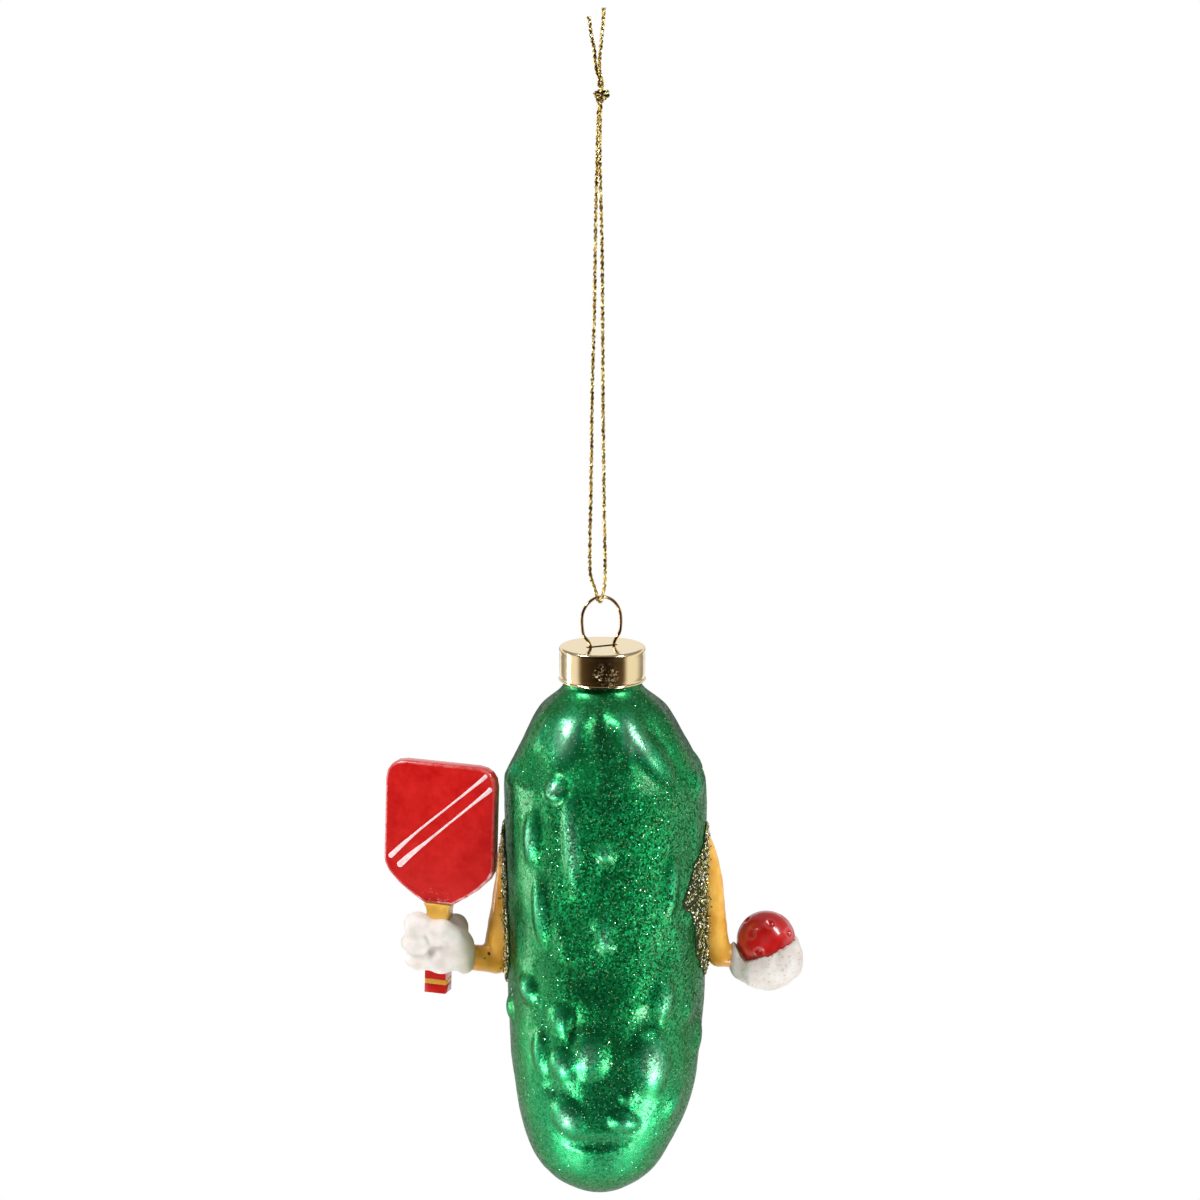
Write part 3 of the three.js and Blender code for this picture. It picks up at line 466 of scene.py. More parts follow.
cap_profile = (
    [(CAP_RADIUS - CAP_WALL, CAP_BOTTOM + 0.1), (CAP_RADIUS - 0.25, CAP_BOTTOM)]
    + rounded_corner(0.26, CAP_RADIUS - 0.1, CAP_BOTTOM + 0.27, -90, 75, 8)
    + [(CAP_RADIUS - 0.06, CAP_BOTTOM + 0.62), (CAP_RADIUS - 0.02, CAP_BOTTOM + 0.9)]
    + [(CAP_RADIUS, CAP_BOTTOM + 1.6), (CAP_RADIUS, CAP_TOP - 1.6), (CAP_RADIUS + 0.01, CAP_TOP - 0.9)]
    + rounded_corner(CAP_EDGE, CAP_RADIUS - CAP_EDGE + 0.03, CAP_TOP - CAP_EDGE, 0, 90, 9)
    + [(CAP_RADIUS - 1.2, CAP_TOP - 0.02), (CAP_RADIUS - 2.4, CAP_TOP - 0.01), (3, CAP_TOP), (0, CAP_TOP)]
)
cap_inside = [
    (0, CAP_TOP - CAP_WALL),
    (CAP_RADIUS - 1.2, CAP_TOP - CAP_WALL),
    (CAP_RADIUS - CAP_WALL - 0.1, CAP_TOP - CAP_WALL - 0.2),
    (CAP_RADIUS - CAP_WALL, CAP_TOP - CAP_WALL - 0.9),
    cap_profile[0],
]
cap_cup = mesh_of(turned(cap_profile + cap_inside, CAP_STEPS, CAP_MIDDLE_X))
slot_place = Matrix.Translation(Vector((CAP_MIDDLE_X, 0, CAP_TOP)) * MM) @ Matrix.Rotation(RING_TURN, 4, "Z")
slot_bm = bmesh.new()
bmesh.ops.create_cube(slot_bm, size=MM, matrix=slot_place @ Matrix.Diagonal((*SLOT_SIZE, 1)))

# Pale brass plating on drawn steel, buffed: a near mirror with a faint cloudiness. The side that shows has
# a small patch of fine curved scratches, broken here and there, which catch light in the dark mirror.
brass, brass_shader = finish_of("buffed_brass_plating", Metallic=1.0)
brass_place = object_place(brass)
brass_cloud = add(brass, "TexNoise", {0: brass_place, "Scale": 0.35, "Detail": 3}).outputs[0]
brass_warp = add(brass, "TexNoise", {0: brass_place, "Scale": 0.5, "Detail": 1.0})
brass_loops = add(
    brass,
    "VectorMath",
    {0: brass_warp.outputs["Color"], 1: (7, 7, 7), 2: brass_place},
    operation="MULTIPLY_ADD",
).outputs[0]
brass_strokes = add(brass, "TexVoronoi", {0: brass_loops, "Scale": 0.9}, feature="DISTANCE_TO_EDGE")
brass_hair = add(
    brass,
    "MapRange",
    {0: brass_strokes.outputs["Distance"], 1: 0, 2: 0.045, 3: 1, 4: 0},
).outputs[0]
brass_patch_away = add(
    brass,
    "VectorMath",
    {0: brass_place, 1: (0.6, -8.6, -113.6)},
    operation="DISTANCE",
).outputs["Value"]
brass_patch = add(
    brass,
    "MapRange",
    {0: brass_patch_away, 1: 1.6, 2: 3.4, 3: 1, 4: 0.07},
    interpolation_type="SMOOTHSTEP",
).outputs[0]
brass_broken = add(brass, "TexNoise", {0: brass_place, "Scale": 1.7, "Detail": 2}).outputs[0]
brass_break = add(brass, "MapRange", {0: brass_broken, 1: 0.46, 2: 0.54}).outputs[0]
brass_patched = add(brass, "Math", {0: brass_hair, 1: brass_patch}, operation="MULTIPLY").outputs[0]
brass_line = add(brass, "Math", {0: brass_patched, 1: brass_break}, operation="MULTIPLY").outputs[0]
brass_rough = add(brass, "MapRange", {0: brass_cloud, 1: 0.3, 2: 0.7, 3: 0.09, 4: 0.16}).outputs[0]
brass_rough_line = add(
    brass,
    "Math",
    {0: brass_line, 1: 0.4, 2: brass_rough},
    operation="MULTIPLY_ADD",
).outputs[0]
brass_tone = add(
    brass,
    "Mix",
    {0: brass_cloud, 6: linear("#F2D69E"), 7: linear("#FAE6BC")},
    data_type="RGBA",
).outputs[2]
brass_bump = add(brass, "Bump", {"Strength": 0.5, "Distance": 0.03 * MM, "Height": brass_line}).outputs[0]
feed(brass, brass_shader, {"Base Color": brass_tone, "Roughness": brass_rough_line, "Normal": brass_bump})
cap = piece("pressed_cap", cut(cap_cup, mesh_of(slot_bm)), brass, "cap", "cap", "cap")
cap_bm = bmesh.new()
cap_bm.from_mesh(cap.data)
for edge in cap_bm.edges:
    if edge.is_manifold and edge.calc_face_angle() > CREASE_ANGLE:
        edge.smooth = False
cap_bm.to_mesh(cap.data)

# The glass pickle
# A blown glass shell 1 to 2 mm thick with an open neck, silvered inside and lacquered green. Its warts and
# furrows come from the mould. Fine glitter is dusted over the wet lacquer, thick on the middle and right.
NECK_RADIUS = 7.85
NECK_BORE = 6.85
NECK_TOP = -110.25
BODY_TIP = -223.25
BODY_DEPTH_SHARE = 19.5 / 20.2
SHOULDER_LENGTH = 21.5
BODY_OUTLINE = [
    (7.95, -117.5),
    (9, -118.8),
    (13.13, -122.64),
    (16.56, -128.87),
    (19.72, -135.1),
    (20.26, -137.9),
    (20.33, -147.6),
    (20.2, -166.05),
    (19.9, -179.25),
    (19.29, -190.45),
    (18.38, -198.65),
    (16.67, -206.85),
    (13.13, -215.15),
    (9.7, -219.25),
    (5.86, -221.75),
    (2.83, -222.9),
    (0, -223.25),
]
# Warts and ridges: degrees from the back's middle, height, half width, half length, rise, degrees of slant
RELIEF = [
    (-35, -124.1, 4.8, 6.8, 1.3, -12),
    (-56, -126.1, 1.8, 2.8, 0.5, -10),
    (21, -123.6, 3.2, 5.2, 1.2, 14),
    (37, -129.6, 2.8, 5, 1.3, 24),
    (15, -128.1, 1.2, 2.6, 0.4, 0),
    (-30, -135, 2.1, 2.4, 1.6, 0),
    (-72, -134.1, 2, 2.6, 0.8, 0),
    (68, -136.1, 3, 3, 0.8, 0),
    (-46, -145.6, 2, 5.2, 1.3, -4),
    (-19, -145.1, 1.9, 9.5, 1.4, 2),
    (0, -147.2, 1.8, 2.2, 1.2, 0),
    (-3, -161.4, 2.2, 2.4, 0.6, 0),
    (0, -165, 1.9, 2.6, 1.5, 0),
    (-40, -160.6, 1.9, 7, 1.0, 4),
    (-27, -165.6, 1.4, 4, 0.4, 0),
    (40, -155.6, 1.7, 6, 1.1, -4),
    (56, -162.1, 1.8, 2.2, 0.6, 0),
    (-52, -177.4, 2.4, 2.9, 1.2, 14),
    (-27, -182.4, 2.4, 3, 1.0, 0),
    (35, -178.4, 2.4, 4, 1.4, -6),
    (-43, -190.2, 1.8, 4.4, 0.8, 0),
    (-26, -192, 2.6, 3.2, 1.0, 0),
    (-9, -189.4, 3.2, 4.8, 1.4, 4),
    (28, -191.8, 3.8, 6.4, 1.5, 10),
    (14, -198.6, 1.3, 1.4, 0.6, 0),
    (-24, -203.2, 2.9, 4, 1.4, 32),
    (14, -204, 3, 2, 1.2, -24),
    (-78, -183.6, 2.2, 2.4, 0.9, 0),
    (-62, -168.6, 1.8, 4, 0.5, 0),
    (74, -189.4, 2.5, 3.3, 0.6, 0),
    (58, -181.6, 1.8, 3, 0.6, 0),
    (52, -201.6, 2.2, 3.4, 0.6, -12),
    (62, -145.6, 1.6, 5, 0.5, 0),
    (112, -135.1, 2.1, 2.7, 0.9, 0),
    (196, -140.4, 2.4, 3.1, 0.9, 0),
    (144, -145.8, 1.7, 2.2, 0.9, 0),
    (228, -151.1, 2.4, 3.1, 0.9, 0),
    (176, -156.5, 2, 2.6, 0.9, 0),
    (124, -161.8, 1.9, 2.5, 0.9, 0),
    (208, -167.2, 2.5, 3.2, 0.9, 0),
    (156, -172.5, 1.7, 2.3, 0.9, 0),
    (240, -177.8, 2.2, 2.9, 0.9, 0),
    (188, -183.2, 2.3, 2.9, 0.9, 0),
    (136, -188.5, 1.7, 2.3, 0.9, 0),
    (220, -193.9, 2.5, 3.2, 0.9, 0),
    (168, -199.2, 1.9, 2.5, 0.9, 0),
    (116, -204.6, 2, 2.6, 0.9, 0),
]
# Dents, the same way, with their depth as a fall
HOLLOWS = [
    (2, -127.1, 3.6, 9, -0.6, 0),
    (2, -135.8, 2.6, 2.8, -0.5, 0),
    (0, -151.2, 1.6, 1.8, -0.6, 0),
    (3, -164.6, 1.3, 1.6, -0.5, 0),
    (-4, -173.6, 6, 4.5, -0.5, 0),
    (2, -195.6, 3.6, 10, -0.5, 0),
    (24, -183.1, 2.6, 3, -0.6, 0),
    (-18, -184.1, 1.6, 3.4, -0.5, 0),
    (-4, -208.8, 5.6, 1.8, -0.6, 0),
    (-33, -197.6, 3, 1.8, -0.4, 0),
    (34, -168.6, 3, 4, -0.4, 0),
]
FURROWS = 8
FURROW_DEPTH = 0.4
FURROW_TURN = 3
WART_FOOT_WIDE = 1.45
WART_FOOT_LONG = 1.35
RELIEF_TOP = -117.8
RELIEF_FADE_TOP = 4
RELIEF_FADE_TIP = 5
# Waves of the blown skin: height in mm, and waves for each mm
SKIN_WAVES = [(0.22, 0.16), (0.07, 0.55)]
BODY_BOW = 0.8
TIP_SHIFT = 0.9
SIDE_WALL = 1.5
TIP_WALL = 1.4
INSIDE_TOP = -119.2
INSIDE_BEND = -197.6
BODY_AROUND = 232
BODY_ROW_GAP = 0.46 * MM

body_rows = smooth_line([(r, 0, z) for r, z in BODY_OUTLINE], BODY_ROW_GAP)
body_line = [(p.x / MM, p.z / MM) for p in body_rows]
body_drops = [-z for r, z in body_line]


def half_width(z):
    """The smooth body's half width at a height, in mm."""
    row = bisect.bisect_left(body_drops, -z)
    if row == 0 or row == len(body_line):
        return NECK_RADIUS if row == 0 else 0
    (r1, z1), (r2, z2) = body_line[row - 1 : row + 1]
    return r1 + (r2 - r1) * (z1 - z) / max(z1 - z2, 1e-6)


def drift(z):
    """How far the body's middle line lies to the side at a height, in mm."""
    share = min(max((CAP_BOTTOM - z) / (CAP_BOTTOM - BODY_TIP), 0), 1)
    near_tip = math.exp(-(((share - 0.93) / 0.1) ** 2))
    return CAP_MIDDLE_X + BODY_BOW * math.sin(share * math.pi) ** 0.7 - TIP_SHIFT * near_tip


def depth_share(z):
    """How deep the body is at a height, as a share of its width."""
    share = min(max((CAP_BOTTOM - z) / SHOULDER_LENGTH, 0), 1)
    return 1 + (BODY_DEPTH_SHARE - 1) * share


def relief_at(degrees, z):
    """How far the mould's warts, furrows and hollows raise the glass, in mm."""
    rise = 0
    around = half_width(z)
    for angle, height, half_w, half_l, lump, slant in RELIEF + HOLLOWS:
        if abs(height - z) > half_l * 1.7 + 3:
            continue
        across = ((degrees - angle + 180) % 360 - 180) * math.pi / 180 * around
        down = height - z
        lean = math.radians(slant)
        u = (across * math.cos(lean) - down * math.sin(lean)) / (half_w * WART_FOOT_WIDE)
        v = (across * math.sin(lean) + down * math.cos(lean)) / (half_l * WART_FOOT_LONG)
        left = 1 - u * u - v * v
        if left > 0:
            rise += lump * left * left * (1.6 - 0.6 * left)
    share = (CAP_BOTTOM - z) / SHOULDER_LENGTH
    shoulder = math.exp(-(((share - 0.45) / 0.35) ** 2))
    rise -= FURROW_DEPTH * shoulder * math.cos(math.radians(FURROWS * (degrees + FURROW_TURN)))
    turn = math.radians(degrees)
    place = Vector((around * math.sin(turn), -around * math.cos(turn), z * 0.6))
    rise += sum(size * noise.noise(place * rate) for size, rate in SKIN_WAVES)
    fade = min(max((RELIEF_TOP - z) / RELIEF_FADE_TOP, 0), 1)
    return rise * fade * min((z - BODY_TIP) / RELIEF_FADE_TIP, 1)


def on_glass(degrees, z, out):
    """A place on the smooth glass or a little out of it, in mm."""
    angle = math.radians(degrees)
    radius = half_width(z) + out
    return Vector((drift(z) + radius * math.sin(angle), -radius * depth_share(z) * math.cos(angle), z))


neck_profile = (
    [(NECK_RADIUS, -117), (NECK_RADIUS, -113.6), (NECK_RADIUS, NECK_TOP - 0.5)]
    + rounded_corner(0.5, NECK_RADIUS - 0.5, NECK_TOP - 0.5, 30, 150, 6)
    + [(NECK_BORE, NECK_TOP - 0.6), (NECK_BORE, -114.6), (NECK_BORE, -117.9)]
)
inside_line = [(max(r - SIDE_WALL, 0), z + (0.4 if z > INSIDE_BEND else 1.3)) for r, z in body_line[8::9]]
inside_line = [(r, z) for r, z in inside_line if z < INSIDE_TOP and r > 0.6] + [(0, BODY_TIP + TIP_WALL)]
body_bm = turned(body_line[::-1] + neck_profile + inside_line, BODY_AROUND)
raised = body_bm.verts.layers.float.new("raised")
for vert in body_bm.verts:
    x, y, z = vert.co / MM
    radius = math.hypot(x, y)
    outer = radius > half_width(z) - 0.4 and z < -117.1
    degrees = math.degrees(math.atan2(x, -y))
    rise = relief_at(degrees, z) if outer and radius > 1e-4 else 0
    vert[raised] = rise
    scale = 1 + rise / radius if radius > 1e-4 else 1
    vert.co = Vector((drift(z) + x * scale, y * scale * depth_share(z), z)) * MM

# Silvered glass under green lacquer: a deep green satin mirror. The warts are painted paler green, pale mint
# on the highest, where the lacquer ran thin, and this is also a painted highlight on them. The hollows are
# painted darker, where the lacquer pooled, and this is also painted shade. Towards the tip the green turns
# paler and bluer. Dust scatters the light in pale and dark grains of about 0.35 mm, each with a tilt of its
# own, and single flakes of 0.2 mm flash green and gold.
lacquer, lacquer_shader = finish_of(
    "silvered_glass_green_lacquer",
    Specular_Tint=linear("#2C6A48"),
    Coat_IOR=1.65,
    Coat_Roughness=0.28,
)
glass_place = object_place(lacquer)
glass_spot = add(lacquer, "SeparateXYZ", {0: glass_place}).outputs
glass_height = glass_spot["Z"]
glass_clouds = add(
    lacquer,
    "TexNoise",
    {0: glass_place, "Scale": 0.13, "Detail": 4, "Roughness": 0.6},
).outputs[0]
dust_edge = add(
    lacquer,
    "TexNoise",
    {0: glass_place, "Scale": 0.09, "Detail": 3, "Roughness": 0.55},
).outputs[0]
dust_sway = add(lacquer, "Math", {0: dust_edge, 1: 34, 2: -17}, operation="MULTIPLY_ADD").outputs[0]
dust_slope = add(
    lacquer,
    "Math",
    {0: glass_spot["X"], 1: 0.75, 2: glass_height},
    operation="MULTIPLY_ADD",
).outputs[0]
dust_height = add(lacquer, "Math", {0: dust_slope, 1: dust_sway}, operation="ADD").outputs[0]
dust_top = add(
    lacquer,
    "MapRange",
    {0: glass_height, 1: -122, 2: -137, 3: 0.12, 4: 1},
    interpolation_type="SMOOTHSTEP",
).outputs[0]
dust_low = add(
    lacquer,
    "MapRange",
    {0: dust_height, 1: -184, 2: -160, 3: 0.3, 4: 1},
    interpolation_type="SMOOTHSTEP",
).outputs[0]
dust_side = add(
    lacquer,
    "MapRange",
    {0: glass_spot["X"], 1: -14, 2: 4, 3: 0.45, 4: 1},
    interpolation_type="SMOOTHSTEP",
).outputs[0]
dust_cloud = add(lacquer, "MapRange", {0: glass_clouds, 1: 0.3, 2: 0.7, 3: 0.7, 4: 1.2}).outputs[0]
dust_band = add(lacquer, "Math", {0: dust_top, 1: dust_low}, operation="MULTIPLY").outputs[0]
dust_across = add(lacquer, "Math", {0: dust_band, 1: dust_side}, operation="MULTIPLY").outputs[0]
dust = add(lacquer, "Math", {0: dust_across, 1: dust_cloud}, operation="MULTIPLY").outputs[0]
grains = add(lacquer, "TexVoronoi", {0: glass_place, "Scale": 2.9}).outputs
grain_dice = add(lacquer, "SeparateColor", {0: grains["Color"]}).outputs
grain_lean = add(
    lacquer,
    "VectorMath",
    {0: grains["Color"], 1: (0.5, 0.5, 0.5)},
    operation="SUBTRACT",
).outputs[0]
grain_tilt = add(lacquer, "MapRange", {0: dust, 1: 0, 2: 1, 3: 0.12, 4: 0.36}).outputs[0]
grain_push = add(lacquer, "VectorMath", {0: grain_lean, "Scale": grain_tilt}, operation="SCALE").outputs[0]
flakes = add(lacquer, "TexVoronoi", {0: glass_place, "Scale": 3.8}).outputs
flake_dice = add(lacquer, "SeparateColor", {0: flakes["Color"]}).outputs
flake_share = add(lacquer, "MapRange", {0: dust, 1: 0, 2: 1, 3: 0.94, 4: 0.885}).outputs[0]
flake_here = add(lacquer, "Math", {0: flake_dice[0], 1: flake_share}, operation="GREATER_THAN").outputs[0]
flake_size = add(lacquer, "Math", {0: flakes["Distance"], 1: 0.36}, operation="LESS_THAN").outputs[0]
flake = add(lacquer, "Math", {0: flake_here, 1: flake_size}, operation="MULTIPLY").outputs[0]
flake_lean = add(
    lacquer,
    "VectorMath",
    {0: flakes["Color"], 1: (0.92, 0.5, 0.5)},
    operation="SUBTRACT",
).outputs[0]
flake_push = add(lacquer, "VectorMath", {0: flake_lean, "Scale": 1.1}, operation="SCALE").outputs[0]
push = add(lacquer, "Mix", {0: flake, 4: grain_push, 5: flake_push}, data_type="VECTOR")
skin_bump = add(lacquer, "Bump", {"Strength": 0.3, "Distance": 0.3 * MM, "Height": glass_clouds}).outputs[0]
skin_normal = add(lacquer, "VectorMath", {0: skin_bump, 1: push.outputs[1]}, operation="ADD").outputs[0]
skin_unit = add(lacquer, "VectorMath", {0: skin_normal}, operation="NORMALIZE").outputs[0]
coat_push = add(lacquer, "VectorMath", {0: flake_push, "Scale": flake}, operation="SCALE").outputs[0]
coat_normal = add(lacquer, "VectorMath", {0: skin_bump, 1: coat_push}, operation="ADD").outputs[0]
coat_unit = add(lacquer, "VectorMath", {0: coat_normal}, operation="NORMALIZE").outputs[0]
lacquer_share = add(lacquer, "MapRange", {0: glass_clouds, 1: 0.32, 2: 0.68}).outputs[0]
lacquer_tone = add(
    lacquer,
    "Mix",
    {0: lacquer_share, 6: linear("#057639"), 7: linear("#08964E")},
    data_type="RGBA",
).outputs[2]
# Paler, bluer green towards the tip
lacquer_low = add(
    lacquer,
    "MapRange",
    {0: glass_height, 1: -180, 2: -212, 3: 0, 4: 0.8},
    interpolation_type="SMOOTHSTEP",
).outputs[0]
lacquer_deep = add(
    lacquer,
    "Mix",
    {0: lacquer_low, 6: lacquer_tone, 7: linear("#079A5C")},
    data_type="RGBA",
).outputs[2]
lacquer_relief = add(lacquer, "Attribute", attribute_name="raised").outputs["Fac"]
# Raised places painted paler green: thin lacquer, and a painted highlight on the warts
lacquer_thin = add(lacquer, "MapRange", {0: lacquer_relief, 1: 0.35, 2: 1.1, 3: 0, 4: 0.85}).outputs[0]
lacquer_pale = add(
    lacquer,
    "Mix",
    {0: lacquer_thin, 6: lacquer_deep, 7: linear("#34C082")},
    data_type="RGBA",
).outputs[2]
# The highest warts painted pale mint: worn lacquer, and a painted highlight on their tops
lacquer_worn = add(lacquer, "MapRange", {0: lacquer_relief, 1: 0.9, 2: 1.5, 3: 0, 4: 0.6}).outputs[0]
lacquer_silver = add(
    lacquer,
    "Mix",
    {0: lacquer_worn, 6: lacquer_pale, 7: linear("#A8E4C2")},
    data_type="RGBA",
).outputs[2]
# Hollows painted dark green: pooled lacquer, and painted shade in the dents
lacquer_thick = add(lacquer, "MapRange", {0: lacquer_relief, 1: -0.7, 2: 0.05, 3: 0.6, 4: 0}).outputs[0]
lacquer_pooled = add(
    lacquer,
    "Mix",
    {0: lacquer_thick, 6: lacquer_silver, 7: linear("#04441F")},
    data_type="RGBA",
).outputs[2]
grain_here = add(lacquer, "MapRange", {0: dust, 1: 0, 2: 1, 3: 0.3, 4: 1}).outputs[0]
grain_pale = add(lacquer, "MapRange", {0: grain_dice[1], 1: 0.5, 2: 0.9}).outputs[0]
grain_lit = add(lacquer, "Math", {0: grain_pale, 1: grain_here}, operation="MULTIPLY").outputs[0]
grain_blend = add(lacquer, "Math", {0: grain_lit, 1: 0.9}, operation="MULTIPLY").outputs[0]
grain_light = add(
    lacquer,
    "Mix",
    {0: grain_blend, 6: lacquer_pooled, 7: linear("#18B068")},
    data_type="RGBA",
).outputs[2]
grain_dark = add(lacquer, "MapRange", {0: grain_dice[2], 1: 0.45, 2: 0.75}).outputs[0]
grain_sunk = add(lacquer, "Math", {0: grain_dark, 1: grain_here}, operation="MULTIPLY").outputs[0]
grain_sink = add(lacquer, "Math", {0: grain_sunk, 1: 0.8}, operation="MULTIPLY").outputs[0]
grain_tone = add(
    lacquer,
    "Mix",
    {0: grain_sink, 6: grain_light, 7: linear("#04481F")},
    data_type="RGBA",
).outputs[2]
flake_gold = add(lacquer, "Math", {0: flake_dice[1], 1: 0.7}, operation="GREATER_THAN").outputs[0]
flake_tone = add(
    lacquer,
    "Mix",
    {0: flake_gold, 6: linear("#86E8B4"), 7: linear("#D6DC96")},
    data_type="RGBA",
).outputs[2]
glass_colour = add(lacquer, "Mix", {0: flake, 6: grain_tone, 7: flake_tone}, data_type="RGBA").outputs[2]
skin_rough = add(lacquer, "MapRange", {0: dust, 1: 0.1, 2: 0.9, 3: 0.36, 4: 0.52}).outputs[0]
glass_coat = add(lacquer, "MapRange", {0: grain_dice[2], 1: 0.4, 2: 0.9, 3: 0.55, 4: 0.1}).outputs[0]
glass_metal = add(lacquer, "Math", {0: flake, 1: -0.45, 2: 0.92}, operation="MULTIPLY_ADD").outputs[0]
glass_rough = add(lacquer, "Mix", {0: flake, 2: skin_rough, 3: 0.14}, data_type="FLOAT")
feed(
    lacquer,
    lacquer_shader,
    {
        "Base Color": glass_colour,
        "Roughness": glass_rough.outputs[0],
        "Normal": skin_unit,
        "Metallic": glass_metal,
        "Coat Weight": glass_coat,
        "Coat Normal": coat_unit,
    },
)
piece("glass_pickle", mesh_of(body_bm), lacquer, "ornament", "green_glass", "glass_body")

# The arms
# Cast resin, painted yellow and glued to the glass. Each arm hangs down along the side, bends at the elbow
# and reaches out to its hand. The sides that meet the glass follow it.
LEFT_UPPER_ARM = [
    (-19.29, 0.4, -148, 0.9),
    (-19.43, 0.4, -153, 1.9),
    (-19.75, 0.4, -159.5, 2.1),
    (-20.35, 0.4, -166.5, 2.5),
    (-21.14, 0.4, -172.5, 2.8),
    (-21.5, 0.4, -174.7, 2.85),
]
LEFT_FOREARM = [(-21.5, 0.4, -174.7, 2.85), (-24.3, -0.8, -174.1, 2.7), (-28.32, -2, -173.5, 2.5)]
RIGHT_UPPER_ARM = [
    (20.56, -2, -148, 1),
    (21.39, -2, -153, 1.9),
    (22, -2, -159.4, 2.4),
    (22.45, -2, -166, 2.5),
    (23.07, -2, -171, 2.6),
    (23.63, -2, -173, 2.5),
]
RIGHT_FOREARM = [(23.63, -2, -173, 2.5), (26, -1.3, -173.6, 2.3), (28.4, -0.5, -174.2, 2.2)]
GLUE_GAP = 0.12
ARM_VOXEL = 0.34


def spread(radii, count, gap):
    """Radii in mm, spread smoothly over a count of points."""
    steps = smooth_line([(radius, 0, 4 * i) for i, radius in enumerate(radii)], gap)
    return [steps[round(i * (len(steps) - 1) / (count - 1))].x for i in range(count)]


def limb(rows):
    """A round limb along rows of (x, y, z, radius) in mm, and its radius at each point."""
    line = smooth_line([row[:3] for row in rows], 0.3 * MM)
    return line, spread([row[3] for row in rows], len(line), 0.1 * MM)


def lump(x, y, z, half_w, half_d, half_h):
    """A rounded lump in mm."""
    bm = bmesh.new()
    place = Matrix.Translation(Vector((x, y, z)) * MM) @ Matrix.Diagonal((half_w, half_d, half_h, 1))
    bmesh.ops.create_uvsphere(bm, u_segments=32, v_segments=20, radius=MM, matrix=place)
    return mesh_of(bm)


def cast(meshes, voxel, smooths):
    """One cast skin over meshes that lie in each other, with the corners between them softened."""
    bm = bmesh.new()
    for mesh in meshes:
        bm.from_mesh(mesh)
    return shaped(
        mesh_of(bm),
        ("REMESH", {"mode": "VOXEL", "voxel_size": voxel * MM}),
        ("SMOOTH", {"factor": 0.5, "iterations": smooths}),
    )


def roughened(mesh, rise, grain):
    """A cast mesh with its surface moved in and out a little, as hand work leaves it."""
    normals = [vert.normal.copy() for vert in mesh.vertices]
    for vert, normal in zip(mesh.vertices, normals):
        vert.co += normal * rise * MM * noise.noise(vert.co / MM / grain)
    return mesh


def off_glass(x, y, z):
    """How far a place in mm lies outside the moulded glass, and its degrees round from the back's middle."""
    x -= drift(z)
    y /= depth_share(z)
    degrees = math.degrees(math.atan2(x, -y))
    return math.hypot(x, y) - half_width(z) - relief_at(degrees, z), degrees


def clear_of_glass(mesh, gap):
    """A mesh with every point that would lie in the glass pushed out to just above it."""
    for vert in mesh.vertices:
        x, y, z = vert.co / MM
        out, degrees = off_glass(x, y, z)
        if out < gap:
            vert.co = on_glass(degrees, z, relief_at(degrees, z) + gap) * MM
    return mesh


def arm(upper, forearm):
    """A cast arm from its upper arm and forearm."""
    lines, radii = zip(limb(upper), limb(forearm))
    elbow = lump(*forearm[0][:3], *[forearm[0][3] * 1.02] * 3)
    shape = cast([strands(lines, radii, 24), elbow], ARM_VOXEL, 7)
    return clear_of_glass(roughened(shape, 0.12, 1.9), GLUE_GAP)


# Yellow enamel brushed over cast resin: a soft gloss in two cloudy yellows, painted darker at the elbows and
# below as painted shade, with faint brush lines and a few dark specks that were caught in it.
yellow, yellow_shader = finish_of(
    "yellow_enamel_on_resin",
    Roughness=0.36,
    Coat_Weight=0.35,
    Coat_Roughness=0.18,
    Subsurface_Weight=0.12,
    Subsurface_Scale=1.2 * MM,
)
yellow_place = object_place(yellow)
yellow_cloud = add(yellow, "TexNoise", {0: yellow_place, "Scale": 0.28, "Detail": 4}).outputs[0]
yellow_strokes = add(
    yellow,
    "TexNoise",
    {0: object_place(yellow, (2.2, 2.2, 0.25)), "Scale": 1, "Detail": 3},
).outputs[0]
yellow_share = add(yellow, "MapRange", {0: yellow_cloud, 1: 0.34, 2: 0.66}).outputs[0]
yellow_tone = add(
    yellow,
    "Mix",
    {0: yellow_share, 6: linear("#DC9C32"), 7: linear("#F2BE54")},
    data_type="RGBA",
).outputs[2]
yellow_spot = add(yellow, "SeparateXYZ", {0: yellow_place}).outputs
# Darker yellow painted on the elbows and the undersides: painted shade
yellow_low = add(
    yellow,
    "MapRange",
    {0: yellow_spot["Z"], 1: -168.6, 2: -176.6, 3: 0, 4: 0.75},
    interpolation_type="SMOOTHSTEP",
).outputs[0]
yellow_deep = add(
    yellow,
    "Mix",
    {0: yellow_low, 6: yellow_tone, 7: linear("#D6962A")},
    data_type="RGBA",
).outputs[2]
yellow_dots = add(yellow, "TexVoronoi", {0: yellow_place, "Scale": 0.55}).outputs
yellow_dot_dice = add(yellow, "SeparateColor", {0: yellow_dots["Color"]}).outputs
yellow_dot_size = add(
    yellow,
    "Math",
    {0: yellow_dots["Distance"], 1: 0.1},
    operation="LESS_THAN",
).outputs[0]
yellow_dot_here = add(yellow, "Math", {0: yellow_dot_dice[0], 1: 0.9}, operation="GREATER_THAN").outputs[0]
yellow_dot = add(yellow, "Math", {0: yellow_dot_size, 1: yellow_dot_here}, operation="MULTIPLY").outputs[0]
yellow_speck_away = add(
    yellow,
    "VectorMath",
    {0: yellow_place, 1: (-23, -2.4, -172.8)},
    operation="DISTANCE",
).outputs["Value"]
yellow_low_speck = add(
    yellow,
    "VectorMath",
    {0: yellow_place, 1: (-23.3, -2.4, -173.9)},
    operation="DISTANCE",
).outputs["Value"]
